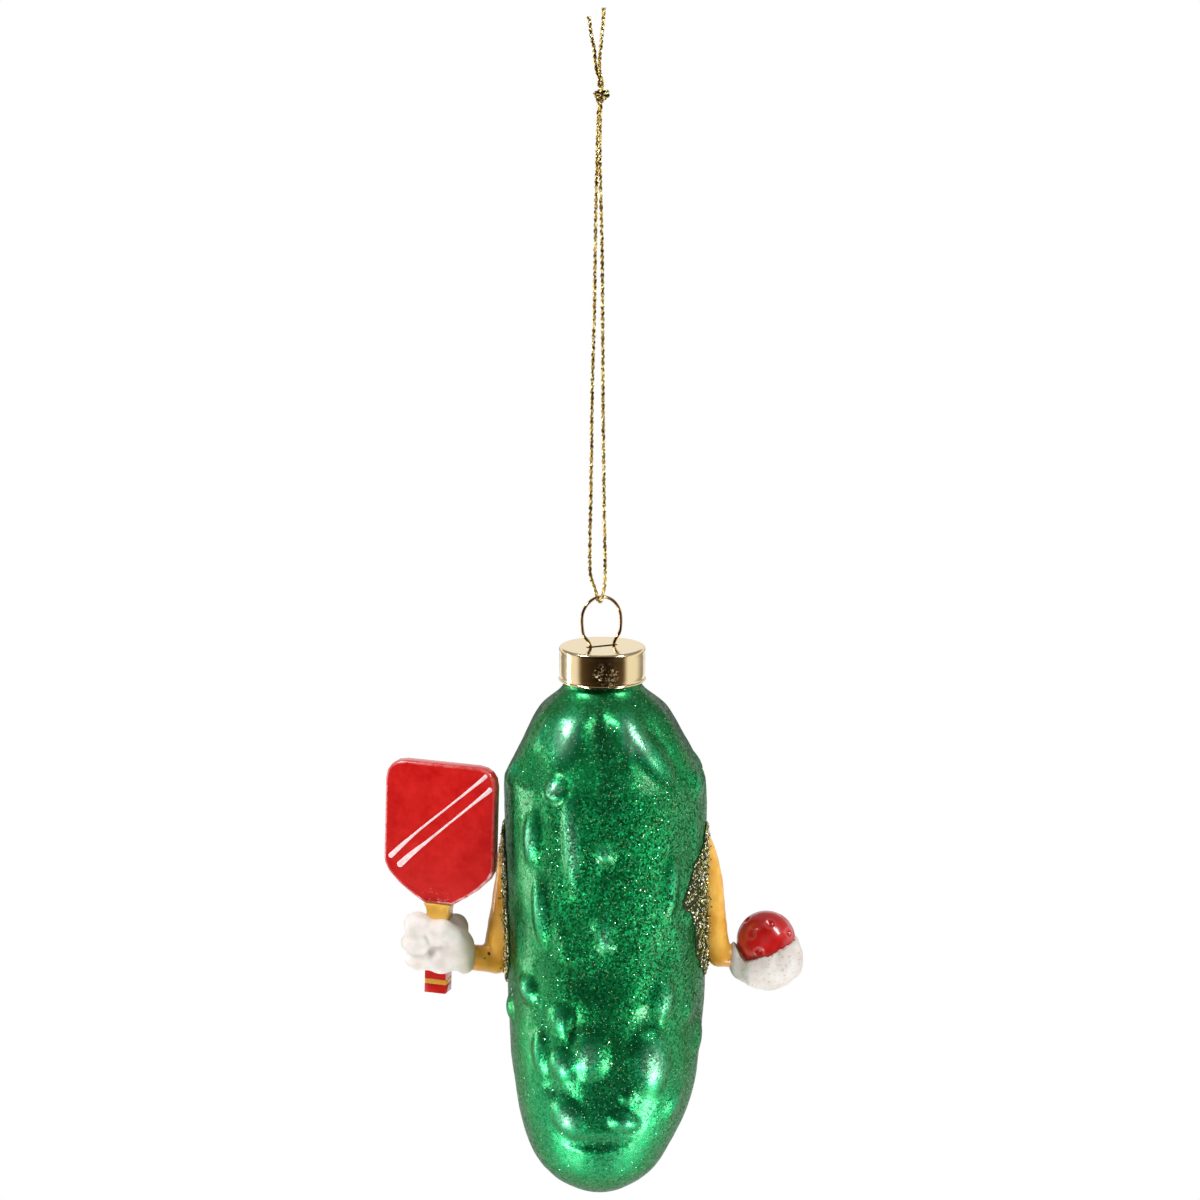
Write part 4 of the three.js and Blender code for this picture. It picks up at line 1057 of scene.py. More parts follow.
yellow_specks = add(
    yellow,
    "Math",
    {0: yellow_speck_away, 1: yellow_low_speck},
    operation="MINIMUM",
).outputs[0]
yellow_caught = add(yellow, "Math", {0: yellow_specks, 1: 0.45}, operation="LESS_THAN").outputs[0]
yellow_dark = add(yellow, "Math", {0: yellow_caught, 1: yellow_dot}, operation="MAXIMUM").outputs[0]
yellow_colour = add(
    yellow,
    "Mix",
    {0: yellow_dark, 6: yellow_deep, 7: linear("#4A3418")},
    data_type="RGBA",
).outputs[2]
yellow_bump = add(
    yellow,
    "Bump",
    {"Strength": 0.35, "Distance": 0.12 * MM, "Height": yellow_strokes},
).outputs[0]
feed(yellow, yellow_shader, {"Base Color": yellow_colour, "Normal": yellow_bump, "Coat Normal": yellow_bump})
left_arm = arm(LEFT_UPPER_ARM, LEFT_FOREARM)
right_arm = arm(RIGHT_UPPER_ARM, RIGHT_FOREARM)
piece("arm_left", left_arm, yellow, "ornament", "yellow_paint", "left_arm")
piece("arm_right", right_arm, yellow, "ornament", "yellow_paint", "right_arm")

# The gloves
# Cast with the arms and painted white: a fist closed round the paddle's handle, and an open hand that cups
# the ball. Fingers are soft lumps with shallow creases between them, and the cup's rim is ragged with paint.
FIST_MIDDLE = Vector((-32.98, -2.5, -170.7))
PADDLE_TURN = math.radians(-17)
PADDLE_LEAN = math.radians(1.6)
PADDLE_FRAME = (
    Matrix.Translation(FIST_MIDDLE * MM)
    @ Matrix.Rotation(PADDLE_TURN, 4, "Z")
    @ Matrix.Rotation(PADDLE_LEAN, 4, "Y")
)
HANDLE_HALF = 2.2
HANDLE_DEPTH = 4
HANDLE_ROOM_HEIGHT = 21
FIST_LUMPS = [
    (0.3, 0.6, 0.2, 6, 4.4, 6.1),
    (-4.2, -1.6, 4.5, 3.1, 3.5, 2.7),
    (-4.4, -2, 0.9, 3.4, 3.6, 2.4),
    (-3.6, -1.8, -2.7, 3.3, 3.4, 2.2),
    (0.4, -3, 3.4, 3.3, 2.9, 2.6),
    (3.2, -1, -0.7, 4.2, 4.6, 4.4),
    (0.4, -2.6, -3, 3, 3, 2.5),
    (5.2, 0.3, -3.1, 2.3, 3.7, 3.3),
    (3.4, 2.8, 2.6, 2.7, 2.6, 3.2),
    (2.6, -2.9, 2, 2.8, 2.5, 2.7),
]
BALL_MIDDLE = Vector((33.03, -0.5, -170.4))
BALL_RADIUS = 5.94
HAND_LUMPS = [
    (0.2, 0, -4.4, 7, 6.7, 5.9),
    (-5.4, -0.4, -4.6, 2.2, 3.4, 3.5),
    (-2.3, -4.9, -5.2, 2.4, 2.1, 3.5),
    (0.9, -5.3, -4.5, 2.2, 2.1, 4.1),
    (3.6, -4.7, -3.8, 2.1, 2.2, 4.5),
    (5.6, -2.9, -3.2, 1.9, 2.6, 4.1),
    (0.4, 4.6, -4.2, 4.8, 2.6, 4),
    (5, 2.2, -3.2, 2.2, 3.4, 4),
    (-6.1, -1.2, -3, 1.6, 2.9, 3.2),
]
COVER_SIZE = 12
COVER_STEPS = 90
CUFF_FROM = -4.9
CUFF_HEIGHT = 5
CUFF_RAMP = 0.7
RIM_DROP = 1.75
RIM_SLANT = math.radians(22)
RIM_RAG = 0.32
HAND_VOXEL = 0.26


def cast_lumps(middle, rows, smooths):
    """One cast skin over lumps that are given from a middle."""
    return cast([lump(*(middle + Vector(row[:3])), *row[3:]) for row in rows], HAND_VOXEL, smooths)


def handle_tool(grow):
    """The room that the handle takes in the fist."""
    bm = bmesh.new()
    size = Matrix.Diagonal((2 * HANDLE_HALF + grow, HANDLE_DEPTH + grow, HANDLE_ROOM_HEIGHT, 1))
    place = PADDLE_FRAME @ Matrix.Translation((0, 0, -0.5 * MM))
    bmesh.ops.create_cube(bm, size=MM, matrix=place @ size)
    return mesh_of(bm)


def ragged_cover():
    """The room above the cupped hand's rim, with a ragged lower face."""
    bm = bmesh.new()
    bmesh.ops.create_grid(bm, x_segments=COVER_STEPS, y_segments=COVER_STEPS, size=COVER_SIZE * MM)
    bmesh.ops.solidify(bm, geom=bm.faces[:], thickness=MM)
    middle = sum(vert.co.z for vert in bm.verts) / len(bm.verts)
    for vert in bm.verts:
        if vert.co.z > middle:
            vert.co.z = COVER_SIZE * MM
        else:
            place = vert.co / MM
            rag = noise.noise(place * 0.5) * 0.9 + noise.noise(place * 1.3) + 0.5 * noise.noise(place * 3)
            cuff = CUFF_HEIGHT * min(max((CUFF_FROM - place.x) / CUFF_RAMP, 0), 1)
            vert.co.z = (RIM_RAG * rag + cuff) * MM
    middle_of_rim = (BALL_MIDDLE - Vector((0, 0, RIM_DROP))) * MM
    place = Matrix.Translation(middle_of_rim) @ Matrix.Rotation(-RIM_SLANT, 4, "Y")
    bmesh.ops.recalc_face_normals(bm, faces=bm.faces)
    bmesh.ops.transform(bm, matrix=place, verts=bm.verts)
    return mesh_of(bm)


# White enamel over resin: a warm, nearly matt white. The cupped hand is specked where its paint was
# handled, and the fist's wrist shows the yellow below. A lobe at the fist's back is painted dark tan:
# painted shade, with a painted reflection of the yellow arm.
white, white_shader = finish_of(
    "white_enamel_on_resin",
    Roughness=0.58,
    Coat_Weight=0.06,
    Coat_Roughness=0.4,
    Subsurface_Weight=0.15,
    Subsurface_Scale=1.5 * MM,
)
white_place = object_place(white)
white_cloud = add(white, "TexNoise", {0: white_place, "Scale": 0.3, "Detail": 4}).outputs[0]
white_share = add(white, "MapRange", {0: white_cloud, 1: 0.35, 2: 0.65}).outputs[0]
white_tone = add(
    white,
    "Mix",
    {0: white_share, 6: linear("#D0C9C1"), 7: linear("#E2DDD8")},
    data_type="RGBA",
).outputs[2]
white_dirt = add(
    white,
    "TexNoise",
    {0: white_place, "Scale": 1.5, "Detail": 5, "Roughness": 0.75},
).outputs[0]
white_speck = add(white, "MapRange", {0: white_dirt, 1: 0.565, 2: 0.64}).outputs[0]
white_spot = add(white, "SeparateXYZ", {0: white_place}).outputs
white_side = add(white, "MapRange", {0: white_spot["X"], 1: 24, 2: 30, 3: 0.06, 4: 0.8}).outputs[0]
white_speck_share = add(white, "Math", {0: white_speck, 1: white_side}, operation="MULTIPLY").outputs[0]
white_colour = add(
    white,
    "Mix",
    {0: white_speck_share, 6: white_tone, 7: linear("#A08C6C")},
    data_type="RGBA",
).outputs[2]
white_bump = add(white, "Bump", {"Strength": 0.12, "Distance": 0.15 * MM, "Height": white_dirt}).outputs[0]
white_wrist = add(white, "MapRange", {0: white_spot["X"], 1: -29.5, 2: -26.5, 3: 0, 4: 0.5}).outputs[0]
white_left = add(white, "Math", {0: white_spot["X"], 1: 0}, operation="LESS_THAN").outputs[0]
white_wear = add(white, "Math", {0: white_wrist, 1: white_left}, operation="MULTIPLY").outputs[0]
white_worn = add(
    white,
    "Mix",
    {0: white_wear, 6: white_colour, 7: linear("#B5AC7A")},
    data_type="RGBA",
).outputs[2]
# Dark tan painted on the lobe at the fist's back: painted shade with a painted yellow reflection
white_behind_away = add(
    white,
    "VectorMath",
    {0: white_place, 1: (-28.2, 2.6, -166.6)},
    operation="DISTANCE",
).outputs["Value"]
white_behind = add(white, "MapRange", {0: white_behind_away, 1: 2.4, 2: 4.4, 3: 0.7, 4: 0}).outputs[0]
white_bare = add(
    white,
    "Mix",
    {0: white_behind, 6: white_worn, 7: linear("#94793F")},
    data_type="RGBA",
).outputs[2]
feed(white, white_shader, {"Base Color": white_bare, "Normal": white_bump})

fist = cut(roughened(cast_lumps(FIST_MIDDLE, FIST_LUMPS, 70), 0.14, 2.2), handle_tool(0.12))
piece("glove_fist", fist, white, "ornament", "white_paint", "left_glove")
hand = roughened(cast_lumps(BALL_MIDDLE, HAND_LUMPS, 60), 0.2, 1.6)
hand = cut(hand, ragged_cover(), lump(*BALL_MIDDLE, *[BALL_RADIUS + 0.06] * 3))
piece("glove_hand", hand, white, "ornament", "white_paint", "right_glove")

# The paddle
# Cast with the fist: a blade with rounded edges on a square handle, which shows above the fist in yellow
# and below it in red with a yellow band. Two lines of thick white paint cross the blade.
BLADE_FOOT = 8.7
BLADE_HALF = 11.6
BLADE_HEIGHT = 29.1
BLADE_CORNER = 4
BLADE_TAPER = 8.6
BLADE_THICKNESS = 3.1
BLADE_EDGE = 0.62
NECK_OUTLINE = [
    (-HANDLE_HALF, -0.02),
    (HANDLE_HALF, -0.02),
    (HANDLE_HALF, 7.1),
    (2.35, 7.9),
    (2.9, 8.7),
    (-2.9, 8.7),
    (-2.35, 7.9),
    (-HANDLE_HALF, 7.1),
]
# How strong the painted highlight is on the blade's lower right rim, and on the rest of its front rim
RUB_LOW = 1.0
RUB_ROUND = 0.18
BLADE_OUTLINE = [
    (3, 0),
    (5.6, 1.6),
    (8.35, 3.6),
    (10.6, 5.9),
    (11.45, 7.6),
    (BLADE_HALF, BLADE_TAPER),
    (BLADE_HALF, 16),
    (BLADE_HALF, BLADE_HEIGHT - BLADE_CORNER),
    (BLADE_HALF - 0.32, BLADE_HEIGHT - 2.3),
    (BLADE_HALF - 1.1, BLADE_HEIGHT - 1.1),
    (BLADE_HALF - 2.3, BLADE_HEIGHT - 0.32),
    (BLADE_HALF - BLADE_CORNER, BLADE_HEIGHT),
]


def side_run(edge):
    """How far an edge runs from the front to the back."""
    return abs(edge.verts[0].co.y - edge.verts[1].co.y)


def rounded(bm, edges, radius, segments):
    """Round some edges of a bmesh by a radius in mm."""
    bmesh.ops.bevel(
        bm,
        geom=edges,
        offset=radius * MM,
        segments=segments,
        profile=0.5,
        affect="EDGES",
        material=-1,
        clamp_overlap=True,
    )


def slab(outline, thickness, edge, segments):
    """A slab with rounded edges from its outline in the paddle's frame, in mm."""
    bm = bmesh.new()
    back = [bm.verts.new(Vector((x, thickness / 2, z)) * MM) for x, z in outline]
    face = bm.faces.new(back)
    out = bmesh.ops.extrude_face_region(bm, geom=[face], use_keep_orig=True)
    front = [item for item in out["geom"] if isinstance(item, bmesh.types.BMVert)]
    bmesh.ops.translate(bm, vec=Vector((0, -thickness, 0)) * MM, verts=front)
    bmesh.ops.recalc_face_normals(bm, faces=bm.faces)
    rounded(bm, [e for e in bm.edges if side_run(e) < 0.01 * MM], edge, segments)
    bmesh.ops.triangulate(bm, faces=[f for f in bm.faces if len(f.verts) > 4])
    return bm


def in_paddle(bm):
    """The mesh of a bmesh, moved from the paddle's frame to its place in the fist."""
    bmesh.ops.transform(bm, matrix=PADDLE_FRAME, verts=bm.verts)
    return mesh_of(bm)


def length_of_handle(top, bottom, edge):
    """A length of the square handle between two heights in the paddle's frame."""
    outline = [(-HANDLE_HALF, bottom), (HANDLE_HALF, bottom), (HANDLE_HALF, top), (-HANDLE_HALF, top)]
    bm = slab(outline, HANDLE_DEPTH, 0.01, 1)
    long_edges = [e for e in bm.edges if side_run(e) > 2 * MM or e.calc_length() > 3.5 * MM]
    rounded(bm, long_edges, edge, 3)
    return bm


# Red enamel over resin, laid on thick: a deep gloss with a slight orange peel, in two cloudy reds. It is
# chipped pale at the blade's foot. A pale pink painted highlight runs along the blade's front rims,
# strongest at the lower right, and a pale ring painted round each of the ball's dimples is a painted
# highlight on its lip.
red, red_shader = finish_of(
    "red_enamel_on_resin",
    Roughness=0.26,
    Coat_Weight=0.6,
    Coat_Roughness=0.09,
)
red_place = object_place(red)
red_cloud = add(red, "TexNoise", {0: red_place, "Scale": 0.3, "Detail": 6, "Roughness": 0.7}).outputs[0]
red_share = add(red, "MapRange", {0: red_cloud, 1: 0.35, 2: 0.68}).outputs[0]
red_tone = add(
    red,
    "Mix",
    {0: red_share, 6: linear("#B40D0C"), 7: linear("#CC211E")},
    data_type="RGBA",
).outputs[2]
red_chips = add(red, "TexNoise", {0: red_place, "Scale": 1.5, "Detail": 6, "Roughness": 0.75}).outputs[0]
red_foot_away = add(
    red,
    "VectorMath",
    {0: red_place, 1: (-32.8, -3.5, -162)},
    operation="DISTANCE",
).outputs["Value"]
red_foot = add(red, "MapRange", {0: red_foot_away, 1: 2.4, 2: 5, 3: 0.12, 4: 0}).outputs[0]
red_wear = add(red, "Math", {0: red_chips, 1: red_foot}, operation="ADD").outputs[0]
red_chip = add(red, "MapRange", {0: red_wear, 1: 0.69, 2: 0.73}).outputs[0]
# A pale ring painted round each dimple: a painted highlight on its lip
red_ring = add(red, "Attribute", attribute_name="dimple_rim").outputs["Fac"]
red_ringed = add(red, "Mix", {0: red_ring, 6: red_tone, 7: linear("#DE6A70")}, data_type="RGBA").outputs[2]
red_colour = add(
    red,
    "Mix",
    {0: red_chip, 6: red_ringed, 7: linear("#D97A7A")},
    data_type="RGBA",
).outputs[2]
# Pale pink painted along the blade's front rims: a painted highlight
red_rub = add(red, "Attribute", attribute_name="rubbed_rim").outputs["Fac"]
red_rub_noise = add(red, "TexNoise", {0: red_place, "Scale": 0.8, "Detail": 5, "Roughness": 0.7}).outputs[0]
red_rub_here = add(red, "MapRange", {0: red_rub_noise, 1: 0.36, 2: 0.56}).outputs[0]
red_rub_share = add(red, "Math", {0: red_rub, 1: red_rub_here}, operation="MULTIPLY").outputs[0]
red_rubbed = add(
    red,
    "Mix",
    {0: red_rub_share, 6: red_colour, 7: linear("#F0B8B8")},
    data_type="RGBA",
).outputs[2]
red_peel = add(red, "TexNoise", {0: red_place, "Scale": 0.9, "Detail": 2}).outputs[0]
red_bump = add(red, "Bump", {"Strength": 0.3, "Distance": 0.1 * MM, "Height": red_peel}).outputs[0]
feed(red, red_shader, {"Base Color": red_rubbed, "Normal": red_bump, "Coat Normal": red_bump})

blade_outline = [(x, z + BLADE_FOOT + 0.05) for x, z in BLADE_OUTLINE]
blade_outline = blade_outline + [(-x, z) for x, z in blade_outline[::-1]]
blade_bm = slab(blade_outline, BLADE_THICKNESS, BLADE_EDGE, 5)
# Where the blade's front rims carry the painted highlight, strongest at the lower right
rim_rub = blade_bm.verts.layers.float.new("rubbed_rim")
for vert in blade_bm.verts:
    x, y, z = vert.co / MM
    on_rim = -BLADE_THICKNESS / 2 + 0.02 < y < -BLADE_THICKNESS / 2 + 0.5
    low = z < BLADE_FOOT + BLADE_TAPER
    vert[rim_rub] = (RUB_LOW if low and x > 2.5 else RUB_ROUND) if on_rim else 0
piece("paddle_face", in_paddle(blade_bm), red, "ornament", "red_paint", "paddle_blade")
neck_mesh = in_paddle(slab(NECK_OUTLINE, HANDLE_DEPTH, 0.22, 3))
piece("paddle_handle_top", neck_mesh, yellow, "ornament", "yellow_paint", "paddle_neck")
for name, top, bottom, edge, enamel, slot, node in (
    ("paddle_handle_grip", -0.05, -6.8, 0.3, red, "red_paint", "paddle_grip"),
    ("paddle_handle_band", -6.85, -7.85, 0.22, yellow, "yellow_paint", "grip_band"),
    ("paddle_handle_butt", -7.9, -9.7, 0.5, red, "red_paint", "grip_butt"),
):
    piece(name, in_paddle(length_of_handle(top, bottom, edge)), enamel, "ornament", slot, node)

# The stripes on the paddle
# Two lines of thick white paint drawn from the lower left to the upper right. Each starts and ends in a
# drop that is a little wider than the line, and the paint stands out as a low round bead.
UPPER_STRIPE = [
    (9.5, 27.6, 0.42),
    (8.8, 26.9, 0.3),
    (7.4, 25.6, 0.23),
    (2, 20.7, 0.22),
    (-4, 15.3, 0.23),
    (-8, 11.4, 0.25),
    (-9.4, 9.9, 0.4),
    (-10.1, 9.2, 0.52),
]
LOWER_STRIPE = [
    (10.5, 24.9, 0.5),
    (9.7, 24.1, 0.32),
    (7.6, 22.2, 0.24),
    (2.6, 17.6, 0.22),
    (-2.4, 13, 0.24),
    (-5.6, 10.1, 0.32),
    (-7.3, 8.4, 0.5),
    (-8.1, 7.6, 0.66),
]
STRIPE_RISE = 0.32

# White enamel from a fine brush: a rounded bead with a soft gloss, tinted pink where the red shows through.
line_white, line_shader = finish_of(
    "white_enamel_line",
    Roughness=0.3,
    Coat_Weight=0.5,
    Coat_Roughness=0.12,
)
line_cloud = add(
    line_white,
    "TexNoise",
    {0: object_place(line_white), "Scale": 1.1, "Detail": 3},
).outputs[0]
line_share = add(line_white, "MapRange", {0: line_cloud, 1: 0.36, 2: 0.6}).outputs[0]
line_tone = add(
    line_white,
    "Mix",
    {0: line_share, 6: linear("#EBC2C6"), 7: linear("#F2DCDD")},
    data_type="RGBA",
).outputs[2]
feed(line_white, line_shader, {"Base Color": line_tone})


def stripe(rows):
    """A low bead of paint on the blade's face, from rows of (x, height on the blade, half width) in mm."""
    face = -(BLADE_THICKNESS / 2 + 0.02)
    line = smooth_line([(x, 0, z + BLADE_FOOT) for x, z, _ in rows], 0.15 * MM)
    radii = spread([row[2] for row in rows], len(line), 0.05 * MM)
    bm = bmesh.new()
    bm.from_mesh(strands([line], [radii], 14))
    for end, (x, z, r) in ((0, rows[0]), (-1, rows[-1])):
        bmesh.ops.create_uvsphere(
            bm,
            u_segments=14,
            v_segments=9,
            radius=radii[end],
            matrix=Matrix.Translation(Vector((x, 0, z + BLADE_FOOT)) * MM),
        )
    merged = shaped(mesh_of(bm), ("REMESH", {"mode": "VOXEL", "voxel_size": 0.09 * MM}))
    bead = bmesh.new()
    bead.from_mesh(merged)
    bmesh.ops.bisect_plane(
        bead,
        geom=bead.verts[:] + bead.edges[:] + bead.faces[:],
        plane_co=(0, 0, 0),
        plane_no=(0, 1, 0),
        clear_outer=True,
    )
    bmesh.ops.holes_fill(bead, edges=[e for e in bead.edges if e.is_boundary])
    along_all = {"use_axis_" + axis: True for axis in "xyz"}
    bmesh.ops.smooth_vert(bead, verts=bead.verts, factor=0.5, **along_all)
    for vert in bead.verts:
        vert.co.y = vert.co.y * STRIPE_RISE + face * MM
    return bead


for side, rows in (("upper", UPPER_STRIPE), ("lower", LOWER_STRIPE)):
    stripe_mesh = in_paddle(stripe(rows))
    piece("painted_line_" + side, stripe_mesh, line_white, "ornament", "stripe_paint", "stripe_" + side)

# The ball
# A cast ball painted red, about 12 mm across, with rings of small round dimples that stand for a
# perforated ball's holes. It sits in the cupped hand.
DIMPLE_RADIUS = 0.95
DIMPLE_DEPTH = 0.42
DIMPLE_RINGS = [(41, -80), (66, -125), (99, -105), (130, -60)]
DIMPLES_PER_RING = 4
# How pale the painted highlight on the dimples' lips is
DIMPLE_RIM_TINT = 0.28
DIMPLE_LIP_AT = 1.15
DIMPLE_LIP_WIDTH = 0.22
DIMPLE_LIP_RISE = 0.07
dimple_middles = []
for down, first in DIMPLE_RINGS:
    down = math.radians(down)
    for i in range(DIMPLES_PER_RING):
        turn = math.radians(first + 360 / DIMPLES_PER_RING * i) + math.pi / 2
        middle = Vector((math.sin(down) * math.sin(turn), -math.sin(down) * math.cos(turn), math.cos(down)))
        dimple_middles.append(middle)
ball_bm = bmesh.new()
bmesh.ops.create_icosphere(ball_bm, subdivisions=6, radius=BALL_RADIUS * MM)
rim_tint = ball_bm.verts.layers.float.new("dimple_rim")
for vert in ball_bm.verts:
    out = vert.co.normalized()
    for middle in dimple_middles:
        away = (out - middle).length * BALL_RADIUS / DIMPLE_RADIUS
        if away < 1.6:
            bowl = math.cos(min(away, 1) * math.pi / 2) ** 1.4
            rim = math.exp(-(((away - DIMPLE_LIP_AT) / DIMPLE_LIP_WIDTH) ** 2))
            vert.co -= out * (DIMPLE_DEPTH * bowl - DIMPLE_LIP_RISE * rim) * MM
            vert[rim_tint] = max(vert[rim_tint], DIMPLE_RIM_TINT * rim)
bmesh.ops.translate(ball_bm, vec=BALL_MIDDLE * MM, verts=ball_bm.verts)
piece("dimpled_ball", mesh_of(ball_bm), red, "ornament", "red_paint", "ball")

# The glue seams
# A bead of clear glue where each arm meets the glass, strewn with coarse gold-green glitter while it was
# wet. The right one spreads forward on the glass in a wide patch at half its height.
LEFT_SEAM_FRONT = [1.2, 2, 2.4, 2.6, 2.6, 2]
RIGHT_SEAM_FRONT = [2, 6, 8, 4.4, 3.8, 2.4]
SEAM_PAST = 1.5
SEAM_RISE = 0.62
SEAM_RAG = 0.7
FLAKES_PER_SEAM = 2300
FLAKES_PER_ARM = 420
ARM_FLAKE_REACH = 1.5
FLAKE_RADIUS = 0.19
FLAKE_TILT = 0.38
SEAM_SEED = 11

# Clear glue over dark green glass, painted near black: painted shadow under the glitter.
glue, glue_shader = finish_of("clear_glue_in_painted_shadow", Roughness=0.5, Specular_IOR_Level=0.2)
# Near black greens painted on the glue: painted shadow between the flakes
glue_cloud = add(glue, "TexNoise", {0: object_place(glue), "Scale": 1.2, "Detail": 3}).outputs[0]
glue_tone = add(
    glue,
    "Mix",
    {0: glue_cloud, 6: linear("#0C1C0C"), 7: linear("#2E3C18")},
    data_type="RGBA",
).outputs[2]
feed(glue, glue_shader, {"Base Color": glue_tone})

# Hexagonal polyester glitter: flat shiny flakes in olive, pale gold and near white, each at its own angle.
glitter, glitter_shader = finish_of("gold_green_glitter", Metallic=0.5, Roughness=0.22)
glitter_cells = add(glitter, "TexVoronoi", {0: object_place(glitter), "Scale": 2.2}).outputs
glitter_dice = add(glitter, "SeparateColor", {0: glitter_cells["Color"]}).outputs
glitter_share = add(glitter, "MapRange", {0: glitter_dice[0], 1: 0.25, 2: 0.7}).outputs[0]
glitter_tone = add(
    glitter,
    "Mix",
    {0: glitter_share, 6: linear("#5E6A26"), 7: linear("#C8C06A")},
    data_type="RGBA",
).outputs[2]
glitter_pale = add(glitter, "Math", {0: glitter_dice[1], 1: 0.68}, operation="GREATER_THAN").outputs[0]
glitter_colour = add(
    glitter,
    "Mix",
    {0: glitter_pale, 6: glitter_tone, 7: linear("#FFFBE2")},
    data_type="RGBA",
).outputs[2]
feed(glitter, glitter_shader, {"Base Color": glitter_colour})


def flake_on(bm, spot, out, dice):
    """One hexagonal flake at a place in mm, facing out with a tilt of its own."""
    turn = out.to_track_quat("Z", "Y").to_matrix().to_4x4()
    tilt_x = Matrix.Rotation(dice.gauss(0, FLAKE_TILT), 4, "X")
    tilt = tilt_x @ Matrix.Rotation(dice.gauss(0, FLAKE_TILT), 4, "Y")
    bmesh.ops.create_cone(
        bm,
        cap_ends=True,
        segments=6,
        radius1=FLAKE_RADIUS * dice.uniform(0.75, 1.15) * MM,
        radius2=FLAKE_RADIUS * 0.9 * MM,
        depth=0.05 * MM,
        matrix=Matrix.Translation(spot * MM) @ turn @ tilt,
    )


def seam(side, rows, fronts, arm_mesh):
    """A bead of glue round the arm's foot on one side of the glass, with flakes over it and the arm."""
    dice = random.Random(SEAM_SEED)
    marks = [(rows[0][2] + rows[0][3] + SEAM_PAST, rows[0][3], rows[0][3])]
    marks += [(row[2], row[3] + 0.3 + front, row[3] + SEAM_PAST) for row, front in zip(rows, fronts)]
    marks += [(rows[-1][2] - rows[-1][3] - SEAM_PAST, rows[-1][3] / 2, rows[-1][3] / 2)]
    arm_y = rows[0][1]

    def place(along, across, rise):
        for (z1, f1, b1), (z2, f2, b2) in zip(marks, marks[1:]):
            if along <= (z1 - marks[0][0]) / (marks[-1][0] - marks[0][0]) - 1e-9:
                continue
            share = (along * (marks[-1][0] - marks[0][0]) + marks[0][0] - z1) / (z2 - z1)
            if share <= 1.0001:
                break
        z = z1 + (z2 - z1) * share
        share = share * share * (3 - 2 * share)
        rag = SEAM_RAG * noise.noise(Vector((0, across * 3, z * 0.8)))
        front = f1 + (f2 - f1) * share + rag
        back = b1 + (b2 - b1) * share + rag
        y = arm_y - front + (front + back) * across
        depth = half_width(z) * depth_share(z)
        degrees = side * (90 + math.degrees(math.asin(max(min(y / depth, 1), -1))))
        crown = max(math.sin(math.pi * across) * min(1, along * 12, (1 - along) * 12), 0) ** 0.5
        lumps = 0.75 + 0.5 * noise.noise(Vector((y, z, side)) * 0.9)
        out = relief_at(degrees, z) + GLUE_GAP + rise * SEAM_RISE * crown * lumps
        return on_glass(degrees, z, out), degrees

    bm = bmesh.new()
    bmesh.ops.create_grid(bm, x_segments=120, y_segments=24, size=0.5)
    bmesh.ops.solidify(bm, geom=bm.faces[:], thickness=0.2)
    middle = sum(vert.co.z for vert in bm.verts) / len(bm.verts)
    for vert in bm.verts:
        along = min(max(vert.co.x + 0.5, 0), 1)
        across = min(max(vert.co.y + 0.5, 0), 1)
        spot, _ = place(along, across, 1 if vert.co.z > middle else 0.02)
        vert.co = spot * MM
    bmesh.ops.recalc_face_normals(bm, faces=bm.faces)
    for face in bm.faces:
        face.material_index = 1
    for _ in range(FLAKES_PER_SEAM):
        spot, degrees = place(dice.random(), dice.uniform(0.02, 0.98), dice.uniform(1.15, 1.5))
        angle = math.radians(degrees)
        flake_on(bm, spot, Vector((math.sin(angle), -math.cos(angle), 0)), dice)
    near = []
    for vert in arm_mesh.vertices:
        if vert.co.y < (arm_y + 1) * MM:
            away = off_glass(*(vert.co / MM))[0]
            if away < ARM_FLAKE_REACH * dice.random() ** 0.5:
                near.append(vert)
    for vert in dice.sample(near, min(FLAKES_PER_ARM, len(near))):
        flake_on(bm, vert.co / MM + vert.normal * 0.06, vert.normal, dice)
    return mesh_of(bm)


for side, rows, fronts, arm_mesh in (
    ("left", LEFT_UPPER_ARM, LEFT_SEAM_FRONT, left_arm),
    ("right", RIGHT_UPPER_ARM, RIGHT_SEAM_FRONT, right_arm),
):
    seam_mesh = seam(-1 if side == "left" else 1, rows, fronts, arm_mesh)
    under_glue = [face.material_index == 1 for face in seam_mesh.polygons]
    piece("glitter_seam_" + side, seam_mesh, glitter, "ornament", "glitter", "seam_" + side)
    seam_mesh.materials.append(glue)
    for face, is_glue in zip(seam_mesh.polygons, under_glue):
        face.material_index = 1 if is_glue else 0
    seam_mesh.shade_flat()

# The studio
# A white floor far below, a white world for the camera, and soft lamps to the sides, above and below. The
# world is dim and warm on the camera's side, as a photographer's room is, and has a bright band behind the
# figure, so that the metal and the glass have something to show.
FLOOR_MIDDLE = (0, 2.4, -1.5)
FLOOR_HALF = 3.2
floor_bm = bmesh.new()
floor_place = Matrix.Translation(FLOOR_MIDDLE)
bmesh.ops.create_grid(floor_bm, x_segments=1, y_segments=1, size=FLOOR_HALF, matrix=floor_place)
floor = placed("floor", mesh_of(floor_bm))
paper, paper_shader = finish_of("white_paper_floor", Roughness=0.9)
feed(paper, paper_shader, {"Base Color": linear("#E8E8E8")})
paper_rays = add(paper, "LightPath").outputs
paper_direct = add(
    paper,
    "Math",
    {0: paper_rays["Is Camera Ray"], 1: paper_rays["Is Transmission Ray"]},
    operation="MAXIMUM",
).outputs[0]
paper_seen = add(
    paper,
    "Math",
    {0: paper_direct, 1: paper_rays["Is Glossy Ray"]},
    operation="MAXIMUM",
).outputs[0]
paper_white = add(paper, "Emission", {"Color": (1, 1, 1, 1), "Strength": 1.0})
